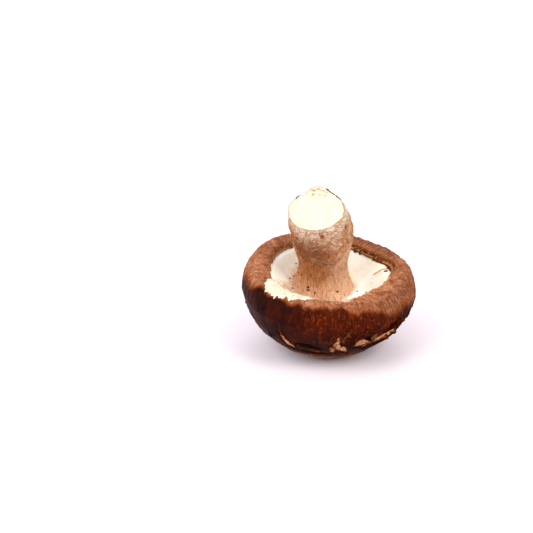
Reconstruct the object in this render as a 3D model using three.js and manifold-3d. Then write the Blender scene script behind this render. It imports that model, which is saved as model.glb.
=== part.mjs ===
// A fresh shiitake mushroom, picked and trimmed, resting on the crown of its cap with its stem up.
// Millimetres, +Z up. The origin is the centre of the small flat on the crown that the mushroom rests on.
// The solids are the mushroom's three organs: the cap with its rolled-in margin, the gills and the stem.
// They are drawn upright about the cap's own axis, and the whole is then leaned to the way it lies.
import * as THREE from "three";
import { mergeVertices } from "three/addons/utils/BufferGeometryUtils.js";
import Module from "manifold-3d";

const wasm = await Module();
wasm.setup();

// Cap: radius at its widest, and the heights above the crown of that widest ring and of the rolled margin.
const CAP_RADIUS = 30.5;
const SHOULDER_HEIGHT = 21.6;
const RIM_HEIGHT = 29.6;
const RIM_RADIUS = 25.0; // of the margin's highest ring
const LIP_RADIUS = 21.3; // of the opening that the margin leaves
const LIP_DROP = 2.0; // from the margin's highest ring down to its inner edge
const CROWN_CUT = 0.35; // depth that the crown is flattened by its own weight

// Gills: a shallow dish that rises from the stem to the margin.
const GILL_INNER_HEIGHT = 21.2;
const GILL_OUTER_HEIGHT = 28.0;
const GILL_DEPTH = 3.2; // from the gills' edges down to the cap's flesh
const GILL_INNER_RADIUS = 6.0; // the stem's room is cut out of the ring afterwards
const GILL_OUTER_RADIUS = 21.0;

// Stem: stations of height above the crown, the axis's x and y there, and the radius.
const STEM_STATIONS = [
  [15.0, -2.0, 2.0, 10.9],
  [17.5, -2.0, 2.0, 11.2],
  [20.5, -2.0, 2.0, 11.0],
  [24.0, -2.0, 2.0, 9.6],
  [28.0, -2.1, 2.1, 8.6],
  [32.5, -2.4, 2.1, 8.6],
  [37.0, -2.8, 2.2, 9.7],
  [41.5, -3.1, 2.2, 10.6],
  [46.0, -3.7, 2.2, 10.8],
  [50.5, -4.9, 2.2, 10.0],
  [55.5, -6.6, 2.2, 8.6],
  [60.0, -8.0, 2.2, 7.4],
];
const STEM_FOOT = 17.4; // where it ends in the cap's flesh
const CUT_CENTRE = [-5.6, 2.0, 51.6];
const CUT_LEAN = 17; // degrees that the knife's cut leans towards -Y
const CUT_ROLL = -9; // degrees that it leans towards +X

// The way it lies: the lean of the cap's axis from upright, in degrees.
const LEAN_FORWARD = 5.5;
const LEAN_SIDE = 2.0;

const GAP = 0.3; // between neighbouring solids
const ROUND = 72; // sides of the cap and gills
const STEM_ROUND = 48;
const BIG = 200; // side of a block that cuts away everything past a plane

const degrees = THREE.MathUtils.degToRad;
const ramp = THREE.MathUtils.smoothstep;

// The cap's plan is not quite round: a share of the radius added at each angle.
function outline(angle) {
  return 0.010 * Math.cos(2 * angle - 0.3) + 0.008 * Math.cos(3 * angle + 0.4) + 0.005 * Math.cos(5 * angle - 1.1);
}

// The margin rises and falls round the cap, in millimetres.
function rimLift(angle) {
  return 0.9 * Math.cos(angle - 2.5) + 0.4 * Math.cos(3 * angle - 0.8);
}

// Half of the cap's section, from the crown on the axis out, round the margin and back under the gills.
function capSection() {
  const dome = new THREE.SplineCurve([
    new THREE.Vector2(0, 0),
    new THREE.Vector2(8, 0.35),
    new THREE.Vector2(13.8, 1.8),
    new THREE.Vector2(18.4, 4.2),
    new THREE.Vector2(22.9, 7.8),
    new THREE.Vector2(26.4, 12.0),
    new THREE.Vector2(28.9, 16.3),
    new THREE.Vector2(CAP_RADIUS, SHOULDER_HEIGHT),
  ]);
  const points = dome.getPoints(18);
  const outer = new THREE.EllipseCurve(
    RIM_RADIUS, SHOULDER_HEIGHT, CAP_RADIUS - RIM_RADIUS, RIM_HEIGHT - SHOULDER_HEIGHT, 0, Math.PI / 2);
  points.push(...outer.getPoints(7).slice(1));
  const inner = new THREE.EllipseCurve(
    RIM_RADIUS, RIM_HEIGHT - LIP_DROP, RIM_RADIUS - LIP_RADIUS, LIP_DROP, Math.PI / 2, Math.PI);
  points.push(...inner.getPoints(5).slice(1));
  for (const share of [1, 0.66, 0.33, 0]) {
    const radius = THREE.MathUtils.lerp(GILL_INNER_RADIUS, LIP_RADIUS, share);
    points.push(new THREE.Vector2(radius, gillHeight(radius) - GILL_DEPTH - GAP));
  }
  points.push(new THREE.Vector2(0, gillHeight(GILL_INNER_RADIUS) - GILL_DEPTH - GAP));
  return points;
}

// Height of the gills' edges at a distance from the axis.
function gillHeight(radius) {
  const share = THREE.MathUtils.clamp((radius - 9) / (LIP_RADIUS - 9), 0, 1);
  return THREE.MathUtils.lerp(GILL_INNER_HEIGHT, GILL_OUTER_HEIGHT, share ** 1.5);
}

// The gills' section: a closed loop, edges above and flesh below.
function gillSection() {
  const steps = 6;
  const radii = Array.from({ length: steps + 1 },
    (_, i) => THREE.MathUtils.lerp(GILL_INNER_RADIUS, GILL_OUTER_RADIUS, i / steps));
  // Close to the margin the edges duck under it.
  const duck = (radius) => 1.2 * ramp(radius, GILL_OUTER_RADIUS - 2.5, GILL_OUTER_RADIUS);
  const lower = radii.map((radius) => new THREE.Vector2(radius, gillHeight(radius) - GILL_DEPTH));
  const upper = radii.map((radius) => new THREE.Vector2(radius, gillHeight(radius) - duck(radius))).reverse();
  return [...lower, ...upper, lower[0].clone()];
}

// Turns a section about Z, then bends the round result to the cap's outline and wavy margin.
function turned(section) {
  const geometry = new THREE.LatheGeometry(section, ROUND);
  geometry.rotateX(Math.PI / 2);
  const position = geometry.getAttribute("position");
  for (let i = 0; i < position.count; i += 1) {
    const x = position.getX(i);
    const y = position.getY(i);
    const z = position.getZ(i);
    const angle = Math.atan2(y, x);
    const radius = Math.hypot(x, y);
    const wide = 1 + outline(angle) * ramp(radius, 4, CAP_RADIUS);
    const lift = rimLift(angle) * ramp(z, 6, RIM_HEIGHT) * ramp(radius, 10, LIP_RADIUS);
    position.setXYZ(i, x * wide, y * wide, z + lift);
  }
  return geometry;
}

// The stem as a bent, swelling cylinder, with extra millimetres on its radius and foot.
function stemBody(extra) {
  const axis = new THREE.CatmullRomCurve3(
    STEM_STATIONS.map(([z, x, y]) => new THREE.Vector3(x, y, z)), false, "catmullrom");
  const profile = new THREE.SplineCurve(STEM_STATIONS.map(([z, , , radius]) => new THREE.Vector2(radius, z)));
  const geometry = new THREE.CylinderGeometry(1, 1, 1, STEM_ROUND, 20);
  geometry.rotateX(Math.PI / 2);
  const position = geometry.getAttribute("position");
  for (let i = 0; i < position.count; i += 1) {
    const share = position.getZ(i) + 0.5;
    const centre = axis.getPoint(share);
    const x = position.getX(i);
    const y = position.getY(i);
    const angle = Math.atan2(y, x);
    const swell = 1 + 0.02 * Math.cos(2 * angle - 0.8) + 0.012 * Math.cos(3 * angle + 2);
    const radius = Math.hypot(x, y) * (profile.getPoint(share).x * swell + extra);
    position.setXYZ(i, centre.x + radius * Math.cos(angle), centre.y + radius * Math.sin(angle), centre.z);
  }
  return solid(geometry).subtract(block(new THREE.Vector3(0, 0, STEM_FOOT - extra - BIG / 2)));
}

// A large block round a centre, turned about X and then Y.
function block(centre, turnX = 0, turnY = 0) {
  const geometry = new THREE.BoxGeometry(BIG, BIG, BIG);
  geometry.rotateX(turnX).rotateY(turnY).translate(centre.x, centre.y, centre.z);
  return solid(geometry);
}

// The block past the plane of the knife's cut.
function pastTheCut() {
  const turnX = degrees(CUT_LEAN);
  const turnY = degrees(CUT_ROLL);
  const normal = new THREE.Vector3(0, 0, 1).applyEuler(new THREE.Euler(turnX, turnY, 0, "YXZ"));
  return block(new THREE.Vector3(...CUT_CENTRE).addScaledVector(normal, BIG / 2), turnX, turnY);
}

// A closed geometry as a manifold-3d solid.
function solid(geometry) {
  const bare = geometry.clone();
  bare.deleteAttribute("normal");
  bare.deleteAttribute("uv");
  const merged = mergeVertices(bare, 1e-4);
  return new wasm.Manifold(new wasm.Mesh({
    numProp: 3,
    vertProperties: merged.getAttribute("position").array,
    triVerts: new Uint32Array(merged.index.array),
  }));
}

// A manifold-3d solid as a geometry.
function geometryOf(body) {
  const mesh = body.getMesh();
  const geometry = new THREE.BufferGeometry();
  geometry.setAttribute("position", new THREE.BufferAttribute(mesh.vertProperties, 3));
  geometry.setIndex(new THREE.BufferAttribute(mesh.triVerts, 1));
  return geometry;
}

// Leans a geometry to the way the mushroom lies.
function leaned(geometry) {
  return geometry.rotateX(degrees(LEAN_FORWARD)).rotateY(degrees(LEAN_SIDE));
}

// How far to move everything so that the crown's flat is centred on the origin.
function placeOf(cap) {
  cap.computeBoundingBox();
  const floor = cap.boundingBox.min.z + CROWN_CUT;
  const cut = geometryOf(solid(cap).subtract(block(new THREE.Vector3(0, 0, floor - BIG / 2))));
  const flat = new THREE.Box3();
  const position = cut.getAttribute("position");
  for (let i = 0; i < position.count; i += 1) {
    const point = new THREE.Vector3().fromBufferAttribute(position, i);
    if (Math.abs(point.z - floor) < 1e-3) flat.expandByPoint(point);
  }
  const centre = flat.getCenter(new THREE.Vector3());
  return { shape: cut, move: new THREE.Vector3(-centre.x, -centre.y, -floor) };
}

function part(name, geometry, colour, roughness) {
  geometry.computeVertexNormals();
  const mesh = new THREE.Mesh(geometry, new THREE.MeshStandardMaterial({ color: colour, roughness, metalness: 0 }));
  mesh.name = name;
  return mesh;
}

const stemRoom = stemBody(GAP);
const stem = stemBody(0).subtract(pastTheCut());
const cap = solid(turned(capSection())).subtract(stemRoom);
const gills = solid(turned(gillSection())).subtract(stemRoom);
const rested = placeOf(leaned(geometryOf(cap)));

const mushroom = new THREE.Group();
mushroom.position.copy(rested.move);
mushroom.add(
  part("cap", rested.shape, 0x7a3f22, 0.5),
  part("gills", leaned(geometryOf(gills)), 0xf2e6cf, 0.8),
  part("stem", leaned(geometryOf(stem)), 0xc99a70, 0.8),
);

export default mushroom;
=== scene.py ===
"""A fresh shiitake mushroom resting on its crown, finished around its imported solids.

Every surface is worked out in millimetres about the cap's own upright axis, crown down and stem up.
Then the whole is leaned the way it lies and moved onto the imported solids, in metres.
"""

import itertools
import logging
import math
from dataclasses import dataclass, field
from enum import Enum

import bpy
import numpy as np
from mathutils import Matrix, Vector


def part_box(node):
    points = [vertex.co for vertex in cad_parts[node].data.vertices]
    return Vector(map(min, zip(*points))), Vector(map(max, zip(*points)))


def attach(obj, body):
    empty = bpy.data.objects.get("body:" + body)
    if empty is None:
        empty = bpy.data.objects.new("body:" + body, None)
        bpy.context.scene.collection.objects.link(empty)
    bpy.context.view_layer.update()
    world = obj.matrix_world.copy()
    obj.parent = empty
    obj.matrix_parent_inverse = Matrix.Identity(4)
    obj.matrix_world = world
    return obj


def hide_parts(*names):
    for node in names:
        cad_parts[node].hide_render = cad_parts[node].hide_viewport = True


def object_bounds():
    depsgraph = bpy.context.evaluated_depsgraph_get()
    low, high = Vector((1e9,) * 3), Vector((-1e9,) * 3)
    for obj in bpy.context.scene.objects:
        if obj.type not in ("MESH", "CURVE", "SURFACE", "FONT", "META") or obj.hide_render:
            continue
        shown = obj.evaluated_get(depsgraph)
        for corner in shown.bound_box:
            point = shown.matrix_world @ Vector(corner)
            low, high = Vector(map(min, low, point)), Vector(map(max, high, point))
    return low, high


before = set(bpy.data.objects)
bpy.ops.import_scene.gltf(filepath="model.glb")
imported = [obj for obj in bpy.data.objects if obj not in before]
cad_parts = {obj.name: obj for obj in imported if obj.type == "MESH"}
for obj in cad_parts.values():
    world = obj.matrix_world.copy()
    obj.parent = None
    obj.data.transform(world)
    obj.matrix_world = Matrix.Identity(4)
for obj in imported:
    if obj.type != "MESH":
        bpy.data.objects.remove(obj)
CAD_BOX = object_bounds()

LOG = logging.getLogger("shiitake")
MM = 0.001
TURN = 2 * math.pi
Array = np.ndarray
Socket = bpy.types.NodeSocket
Material = bpy.types.Material
Thing = bpy.types.Object


# ---------------------------------------------------------------- numbers and noise


def ramp(value: Array, low: float, high: float) -> Array:
    """Eases from 0 at low to 1 at high: 3t^2 - 2t^3 of the clamped share t."""
    share = np.clip((value - low) / (high - low), 0.0, 1.0)
    return share * share * (3.0 - 2.0 * share)


def bump(value: Array, centre: float, width: float) -> Array:
    """A bell of height 1 at the centre: e to the minus square of the distance over the width."""
    return np.exp(-(((value - centre) / width) ** 2))


def wrapped(angle: Array) -> Array:
    """The same angle in radians, between minus half a turn and half a turn."""
    return (angle + math.pi) % TURN - math.pi


def all_round(count: int) -> Array:
    """Angles once round, evenly spaced, as one row."""
    return np.arange(count)[None, :] / count * TURN


def facing(angle: Array, degrees: float, low: float, high: float) -> Array:
    """1 towards a direction and 0 away from it: the cosine of the angle between, eased from low to high."""
    return ramp(np.cos(angle - math.radians(degrees)), low, high)


def bell(angle: Array, degrees: float, width: float) -> Array:
    """A bell of height 1 at a direction in degrees, with its width in radians."""
    return bump(wrapped(angle - math.radians(degrees)), 0.0, width)


def through(stations: Array, count: int) -> Array:
    """Carries a smooth curve through stations.

    Between two stations p1 and p2, with neighbours p0 and p3, the point at share t is the
    Catmull-Rom cubic: p1 + t*(v0 + t*(3(p2-p1) - 2v0 - v1 + t*(2(p1-p2) + v0 + v1))),
    where v0 = (p2-p0)/2 and v1 = (p3-p1)/2.

    Args:
        stations: points in order, one a row.
        count: number of points wanted along the curve.

    Returns:
        The points of the curve, ends included, one a row.
    """
    ends = np.vstack([stations[:1], stations, stations[-1:]])
    place = np.linspace(0.0, len(stations) - 1.0, count)
    index = np.minimum(place.astype(int), len(stations) - 2)
    share = (place - index)[:, None]
    before, first, second, after = (ends[index + k] for k in range(4))
    start, finish = (second - before) / 2, (after - first) / 2
    cubic = 2 * (first - second) + start + finish
    square = 3 * (second - first) - 2 * start - finish
    return first + share * (start + share * (square + share * cubic))


def arc(centre: tuple[float, float], radii: tuple[float, float], start: float, end: float,
        count: int) -> Array:
    """Part of an ellipse: centre + (radii * (cos a, sin a)) for a from start to end in degrees."""
    angle = np.radians(np.linspace(start, end, count))[:, None]
    return np.array(centre) + np.array(radii) * np.hstack([np.cos(angle), np.sin(angle)])


def hashed(cell: Array, seed: int) -> Array:
    """Scrambles whole-number cells into numbers from 0 to 1, alike on every run.

    Args:
        cell: whole numbers, the last axis holding x, y and z.
        seed: chooses one of many such patterns.

    Returns:
        One number for each cell.
    """
    x, y, z = (cell[..., k].astype(np.uint64) for k in range(3))
    mixed = x * np.uint64(0x9E3779B1) + y * np.uint64(0x85EBCA77) + z * np.uint64(0xC2B2AE3D)
    mixed = mixed + np.uint64(seed * 0x27D4EB2F + 0x165667B1)
    mixed = (mixed ^ (mixed >> np.uint64(15))) * np.uint64(0x2C1B3C6D)
    mixed = (mixed ^ (mixed >> np.uint64(12))) * np.uint64(0x297A2D39)
    mixed = mixed ^ (mixed >> np.uint64(15))
    return (mixed & np.uint64(0xFFFFFF)).astype(float) / float(0xFFFFFF)


def noise(place: Array, seed: int) -> Array:
    """Smooth noise from -1 to 1: hashed corner values of each unit cell, blended by 6t^5 - 15t^4 + 10t^3.

    Args:
        place: points, the last axis holding x, y and z.
        seed: chooses the pattern.

    Returns:
        One number for each point.
    """
    cell = np.floor(place).astype(np.int64)
    part = place - cell
    ease = part**3 * (part * (part * 6 - 15) + 10)
    total = np.zeros(place.shape[:-1])
    for corner in itertools.product((0, 1), repeat=3):
        step = np.array(corner)
        share = np.prod(np.where(step == 1, ease, 1 - ease), axis=-1)
        total += share * hashed(cell + step, seed)
    return 2 * total - 1


def layered(place: Array, size: float | tuple[float, float, float], seed: int, octaves: int) -> Array:
    """Noise with finer noise on it: each layer has twice the detail and half the height of the last.

    Args:
        place: points, the last axis holding x, y and z.
        size: size of the largest marks, for all axes or for each.
        seed: chooses the pattern.
        octaves: number of layers.

    Returns:
        One number for each point, from -1 to 1.
    """
    cells = place / np.array(size)
    layers = [noise(cells * 2**k, seed + 17 * k) / 2**k for k in range(octaves)]
    return sum(layers) / sum(0.5**k for k in range(octaves))


def cellular(place: Array, seed: int) -> tuple[Array, Array, Array]:
    """Splits space into cells about one hashed seed point in each unit cube.

    Args:
        place: points, the last axis holding x, y and z.
        seed: chooses the pattern.

    Returns:
        Distance to the nearest seed point, distance to the next nearest, and a number from 0 to 1
        for the cell.
    """
    home = np.floor(place).astype(np.int64)
    nearest = np.full(place.shape[:-1], 9.0)
    second = nearest.copy()
    tint = np.zeros(place.shape[:-1])
    for offset in itertools.product((-1, 0, 1), repeat=3):
        cell = home + np.array(offset)
        point = cell + np.stack([hashed(cell, seed + k) for k in range(3)], axis=-1)
        gap = np.linalg.norm(place - point, axis=-1)
        closer = gap < nearest
        second = np.where(closer, nearest, np.minimum(second, gap))
        tint = np.where(closer, hashed(cell, seed + 3), tint)
        nearest = np.where(closer, gap, nearest)
    return nearest, second, tint


# ---------------------------------------------------------------- meshes


def polar(radius: Array, angle: Array, height: Array) -> Array:
    """Points at radius and angle about the axis: (r cos a, r sin a, z)."""
    return np.stack(np.broadcast_arrays(radius * np.cos(angle), radius * np.sin(angle), height), axis=-1)


def ring_at(radius: float, angle: Array) -> Array:
    """Points of a level circle at height 0, one for each angle."""
    return polar(np.full_like(angle, radius), angle, 0 * angle)


def outward(angle: Array, like: Array) -> Array:
    """Level unit vectors away from the axis, for every angle and every value of a like array."""
    return polar(np.ones_like(like), angle, 0 * like)


def normals_of(grid: Array) -> Array:
    """Unit normals of a grid that closes round its columns: the cross product of its two directions.

    Args:
        grid: rows by columns by 3.

    Returns:
        An array of the same shape.
    """
    around = np.roll(grid, -1, axis=1) - np.roll(grid, 1, axis=1)
    along = np.gradient(grid, axis=0)
    normal = np.cross(around, along)
    return normal / np.maximum(np.linalg.norm(normal, axis=-1, keepdims=True), 1e-9)


def quads(rows: int, columns: int, joined: bool) -> Array:
    """Corner numbers of the faces of a grid whose columns close on themselves.

    Args:
        rows: number of rows.
        columns: number of columns.
        joined: whether the last row also meets the first, as on a ring.

    Returns:
        Four vertex numbers a face.
    """
    row = np.arange(rows if joined else rows - 1)[:, None]
    column = np.arange(columns)[None, :]
    here, up = row * columns, (row + 1) % rows * columns
    side = (column + 1) % columns
    return np.stack([here + column, here + side, up + side, up + column], axis=-1).reshape(-1, 4)


def piece_from(name: str, points: Array, faces: list[Array], marks: dict[str, Array]) -> Thing:
    """Makes a mesh object at the origin from whole arrays, its faces turned outwards.

    Each face block is an array of corner numbers. The volume that the faces enclose is the sum of
    a . (b x c) / 6 over their triangles, and where it is negative every face is turned round.

    Args:
        name: the piece's name.
        points: vertex places in metres.
        faces: blocks of faces with 3 or 4 corners.
        marks: for each attribute's name, a value or a vector at each vertex.

    Returns:
        The new object, linked to the scene.
    """
    fans = [block[:, [0, k, k + 1]] for block in faces for k in range(1, block.shape[1] - 1)]
    a, b, c = (points[np.vstack(fans)[:, k]] for k in range(3))
    if np.einsum("ij,ij->i", a, np.cross(b, c)).sum() < 0:
        faces = [block[:, ::-1] for block in faces]
    corners = np.concatenate([block.ravel() for block in faces])
    sizes = np.concatenate([np.full(len(block), block.shape[1]) for block in faces])
    mesh = bpy.data.meshes.new(name)
    mesh.vertices.add(len(points))
    mesh.vertices.foreach_set("co", points.astype(np.float32).ravel())
    mesh.loops.add(len(corners))
    mesh.loops.foreach_set("vertex_index", corners.astype(np.int32))
    mesh.polygons.add(len(sizes))
    starts = np.concatenate([[0], np.cumsum(sizes)[:-1]])
    mesh.polygons.foreach_set("loop_start", starts.astype(np.int32))
    mesh.update(calc_edges=True)
    mesh.validate()
    mesh.shade_smooth()
    for mark, values in marks.items():
        vector = values.ndim == 2
        layer = mesh.attributes.new(mark, "FLOAT_VECTOR" if vector else "FLOAT", "POINT")
        layer.data.foreach_set("vector" if vector else "value", values.astype(np.float32).ravel())
    thing = bpy.data.objects.new(name, mesh)
    bpy.context.scene.collection.objects.link(thing)
    return thing


def closed_grid(name: str, grid: Array, marks: dict[str, Array], joined: bool = False) -> Thing:
    """Makes a closed piece from a grid of rows that each go once round.

    Where the first and last rows don't meet, each is closed by a fan of triangles to its mean point.

    Args:
        name: the piece's name.
        grid: rows by columns by 3, in metres.
        marks: for each attribute's name, rows by columns of values, or of vectors.
        joined: whether the last row meets the first, as on a ring.

    Returns:
        The new object.
    """
    rows, columns = grid.shape[:2]
    faces = [quads(rows, columns, joined)]
    if joined:
        flat = {mark: values.reshape(rows * columns, *values.shape[2:]) for mark, values in marks.items()}
        return piece_from(name, grid.reshape(-1, 3), faces, flat)
    ring = np.arange(columns)
    first, last = rows * columns, rows * columns + 1
    faces.append(np.stack([np.roll(ring, -1), ring, np.full(columns, first)], axis=1))
    top = ring + (rows - 1) * columns
    faces.append(np.stack([top, np.roll(top, -1), np.full(columns, last)], axis=1))

    def with_poles(values: Array) -> Array:
        """Flattens a grid and adds the means of its first and last rows."""
        ends = np.stack([values[0].mean(axis=0), values[-1].mean(axis=0)])
        return np.concatenate([values.reshape(rows * columns, *values.shape[2:]), ends])

    ended = {mark: with_poles(values) for mark, values in marks.items()}
    return piece_from(name, with_poles(grid), faces, ended)


# ---------------------------------------------------------------- materials


def linear(code: str) -> tuple[float, float, float, float]:
    """Turns an sRGB hex colour into the linear RGBA that sockets take."""
    shares = [int(code[k : k + 2], 16) / 255 for k in (1, 3, 5)]
    return (*(s / 12.92 if s <= 0.04045 else ((s + 0.055) / 1.055) ** 2.4 for s in shares), 1.0)


def add(tree: bpy.types.NodeTree, kind: str, values: dict | None = None, links: dict | None = None,
        stops: list[tuple[float, str]] | None = None, **settings: object) -> bpy.types.Node:
    """Adds one shader node.

    Args:
        tree: the material's node tree.
        kind: the node's type without its ShaderNode prefix.
        values: values for its sockets, by name or number; a hex text is a colour.
        links: output sockets to link in, by the name or number of the input.
        stops: for a colour ramp, its places and hex colours in order.
        settings: the node's own properties.

    Returns:
        The new node.
    """
    node = tree.nodes.new("ShaderNode" + kind)
    for key, value in settings.items():
        setattr(node, key, value)
    for key, value in (values or {}).items():
        node.inputs[key].default_value = linear(value) if isinstance(value, str) else value
    for key, socket in (links or {}).items():
        tree.links.new(socket, node.inputs[key])
    if stops:
        elements = node.color_ramp.elements
        while len(elements) < len(stops):
            elements.new(1.0)
        for element, (place, code) in zip(elements, stops):
            element.position, element.color = place, linear(code)
    return node


@dataclass
class Paint:
    """Builds one material: a stack of colours over each other, then roughness and relief."""

    name: str
    tree: bpy.types.NodeTree = field(init=False)
    material: Material = field(init=False)
    colour: Socket = field(init=False)

    def __post_init__(self) -> None:
        """Starts the material with an empty node tree."""
        self.material = bpy.data.materials.new(self.name)
        self.material.use_nodes = True
        self.tree = self.material.node_tree
        self.tree.nodes.clear()

    def mark(self, name: str, vector: bool = False) -> Socket:
        """Reads one of the piece's own attributes."""
        node = add(self.tree, "Attribute", attribute_name=name)
        return node.outputs["Vector" if vector else "Fac"]

    def place(self) -> Socket:
        """Object coordinates, in metres."""
        return add(self.tree, "TexCoord").outputs["Object"]

    def speckle(self, size: float, place: Socket | None = None, detail: float = 3.0,
                stretch: tuple[float, float, float] | None = None, rough: float = 0.55,
                bent: float = 0.0) -> Socket:
        """Noise whose marks are about a stated size.

        Args:
            size: size of the marks in millimetres.
            place: millimetre coordinates that the pattern follows; the object's own where left out.
            detail: number of finer layers.
            stretch: scale of each axis before the noise is read; under 1 makes long marks.
            rough: share of each finer layer.
            bent: how far the noise distorts itself.

        Returns:
            The noise's value socket, about 0.5 on average.
        """
        scale = 1 / size if place else 1 / (size * MM)
        source = place or self.place()
        if stretch:
            source = add(self.tree, "Mapping", {"Scale": stretch}, {"Vector": source}).outputs[0]
        values = {"Scale": scale, "Detail": detail, "Roughness": rough, "Distortion": bent}
        return add(self.tree, "TexNoise", values, {"Vector": source}).outputs["Fac"]

    def eased(self, value: Socket, low: float, high: float, top: float = 1.0,
              bottom: float = 0.0) -> Socket:
        """Takes a value from bottom at low to top at high, clamped and eased."""
        values = {"From Min": low, "From Max": high, "To Min": bottom, "To Max": top}
        node = add(self.tree, "MapRange", values, {"Value": value}, interpolation_type="SMOOTHSTEP")
        return node.outputs["Result"]

    def maths(self, operation: str, first: object, second: object) -> Socket:
        """Works out one sum of two numbers, each a socket or a plain number."""
        both = {0: first, 1: second}
        links = {k: v for k, v in both.items() if isinstance(v, Socket)}
        values = {k: v for k, v in both.items() if k not in links}
        return add(self.tree, "Math", values, links, operation=operation).outputs[0]

    def times(self, first: object, second: object) -> Socket:
        """The product of two numbers, each a socket or a plain number."""
        return self.maths("MULTIPLY", first, second)

    def frayed(self, share: Socket, height: Socket,
               depth: float) -> Socket:
        """Frays a mark's edge: the mark plus depth times the noise less its average of a half."""
        return self.maths("ADD", share, self.times(self.maths("SUBTRACT", height, 0.5), depth))

    def shades(self, value: Socket, *stops: tuple[float, str]) -> Socket:
        """Turns a value into colours by stops of a place and a hex colour."""
        return add(self.tree, "ValToRGB", None, {"Fac": value}, list(stops)).outputs["Color"]

    def coat(self, code: object, share: object) -> None:
        """Lays a colour over what is there so far.

        Args:
            code: a hex colour or a colour socket.
            share: how much of it shows, a socket or a number.
        """
        values, links = {}, {6: self.colour}
        for key, thing in ((7, code), (0, share)):
            if isinstance(thing, Socket):
                links[key] = thing
            else:
                values[key] = thing
        node = add(self.tree, "Mix", values, links, data_type="RGBA", clamp_result=True)
        self.colour = node.outputs[2]

    def dust(self, code: str, mask: Socket, height: Socket,
             *window: float) -> None:
        """Lays a colour where a mark is and a texture, eased over a window, says so too."""
        self.coat(code, self.times(mask, self.eased(height, *window)))

    def finish(self, relief: list[tuple[Socket, float]], rough: object,
               **sockets: object) -> Material:
        """Ends the material in a Principled shader.

        Args:
            relief: height sockets, each with the depth in millimetres that it stands for.
            rough: roughness, a socket or a number.
            sockets: plain values for the shader's other sockets, with _ for a space.

        Returns:
            The finished material.
        """
        normal = None
        for height, depth in relief:
            links = {"Height": height} | ({"Normal": normal} if normal else {})
            values = {"Strength": 1.0, "Distance": depth * MM}
            normal = add(self.tree, "Bump", values, links).outputs["Normal"]
        links = {"Base Color": self.colour} | ({"Normal": normal} if normal else {})
        values = {key.replace("_", " "): value for key, value in sockets.items()}
        if isinstance(rough, Socket):
            links["Roughness"] = rough
        else:
            values["Roughness"] = rough
        shader = add(self.tree, "BsdfPrincipled", values, links)
        add(self.tree, "OutputMaterial", None, {"Surface": shader.outputs[0]})
        return self.material


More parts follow.
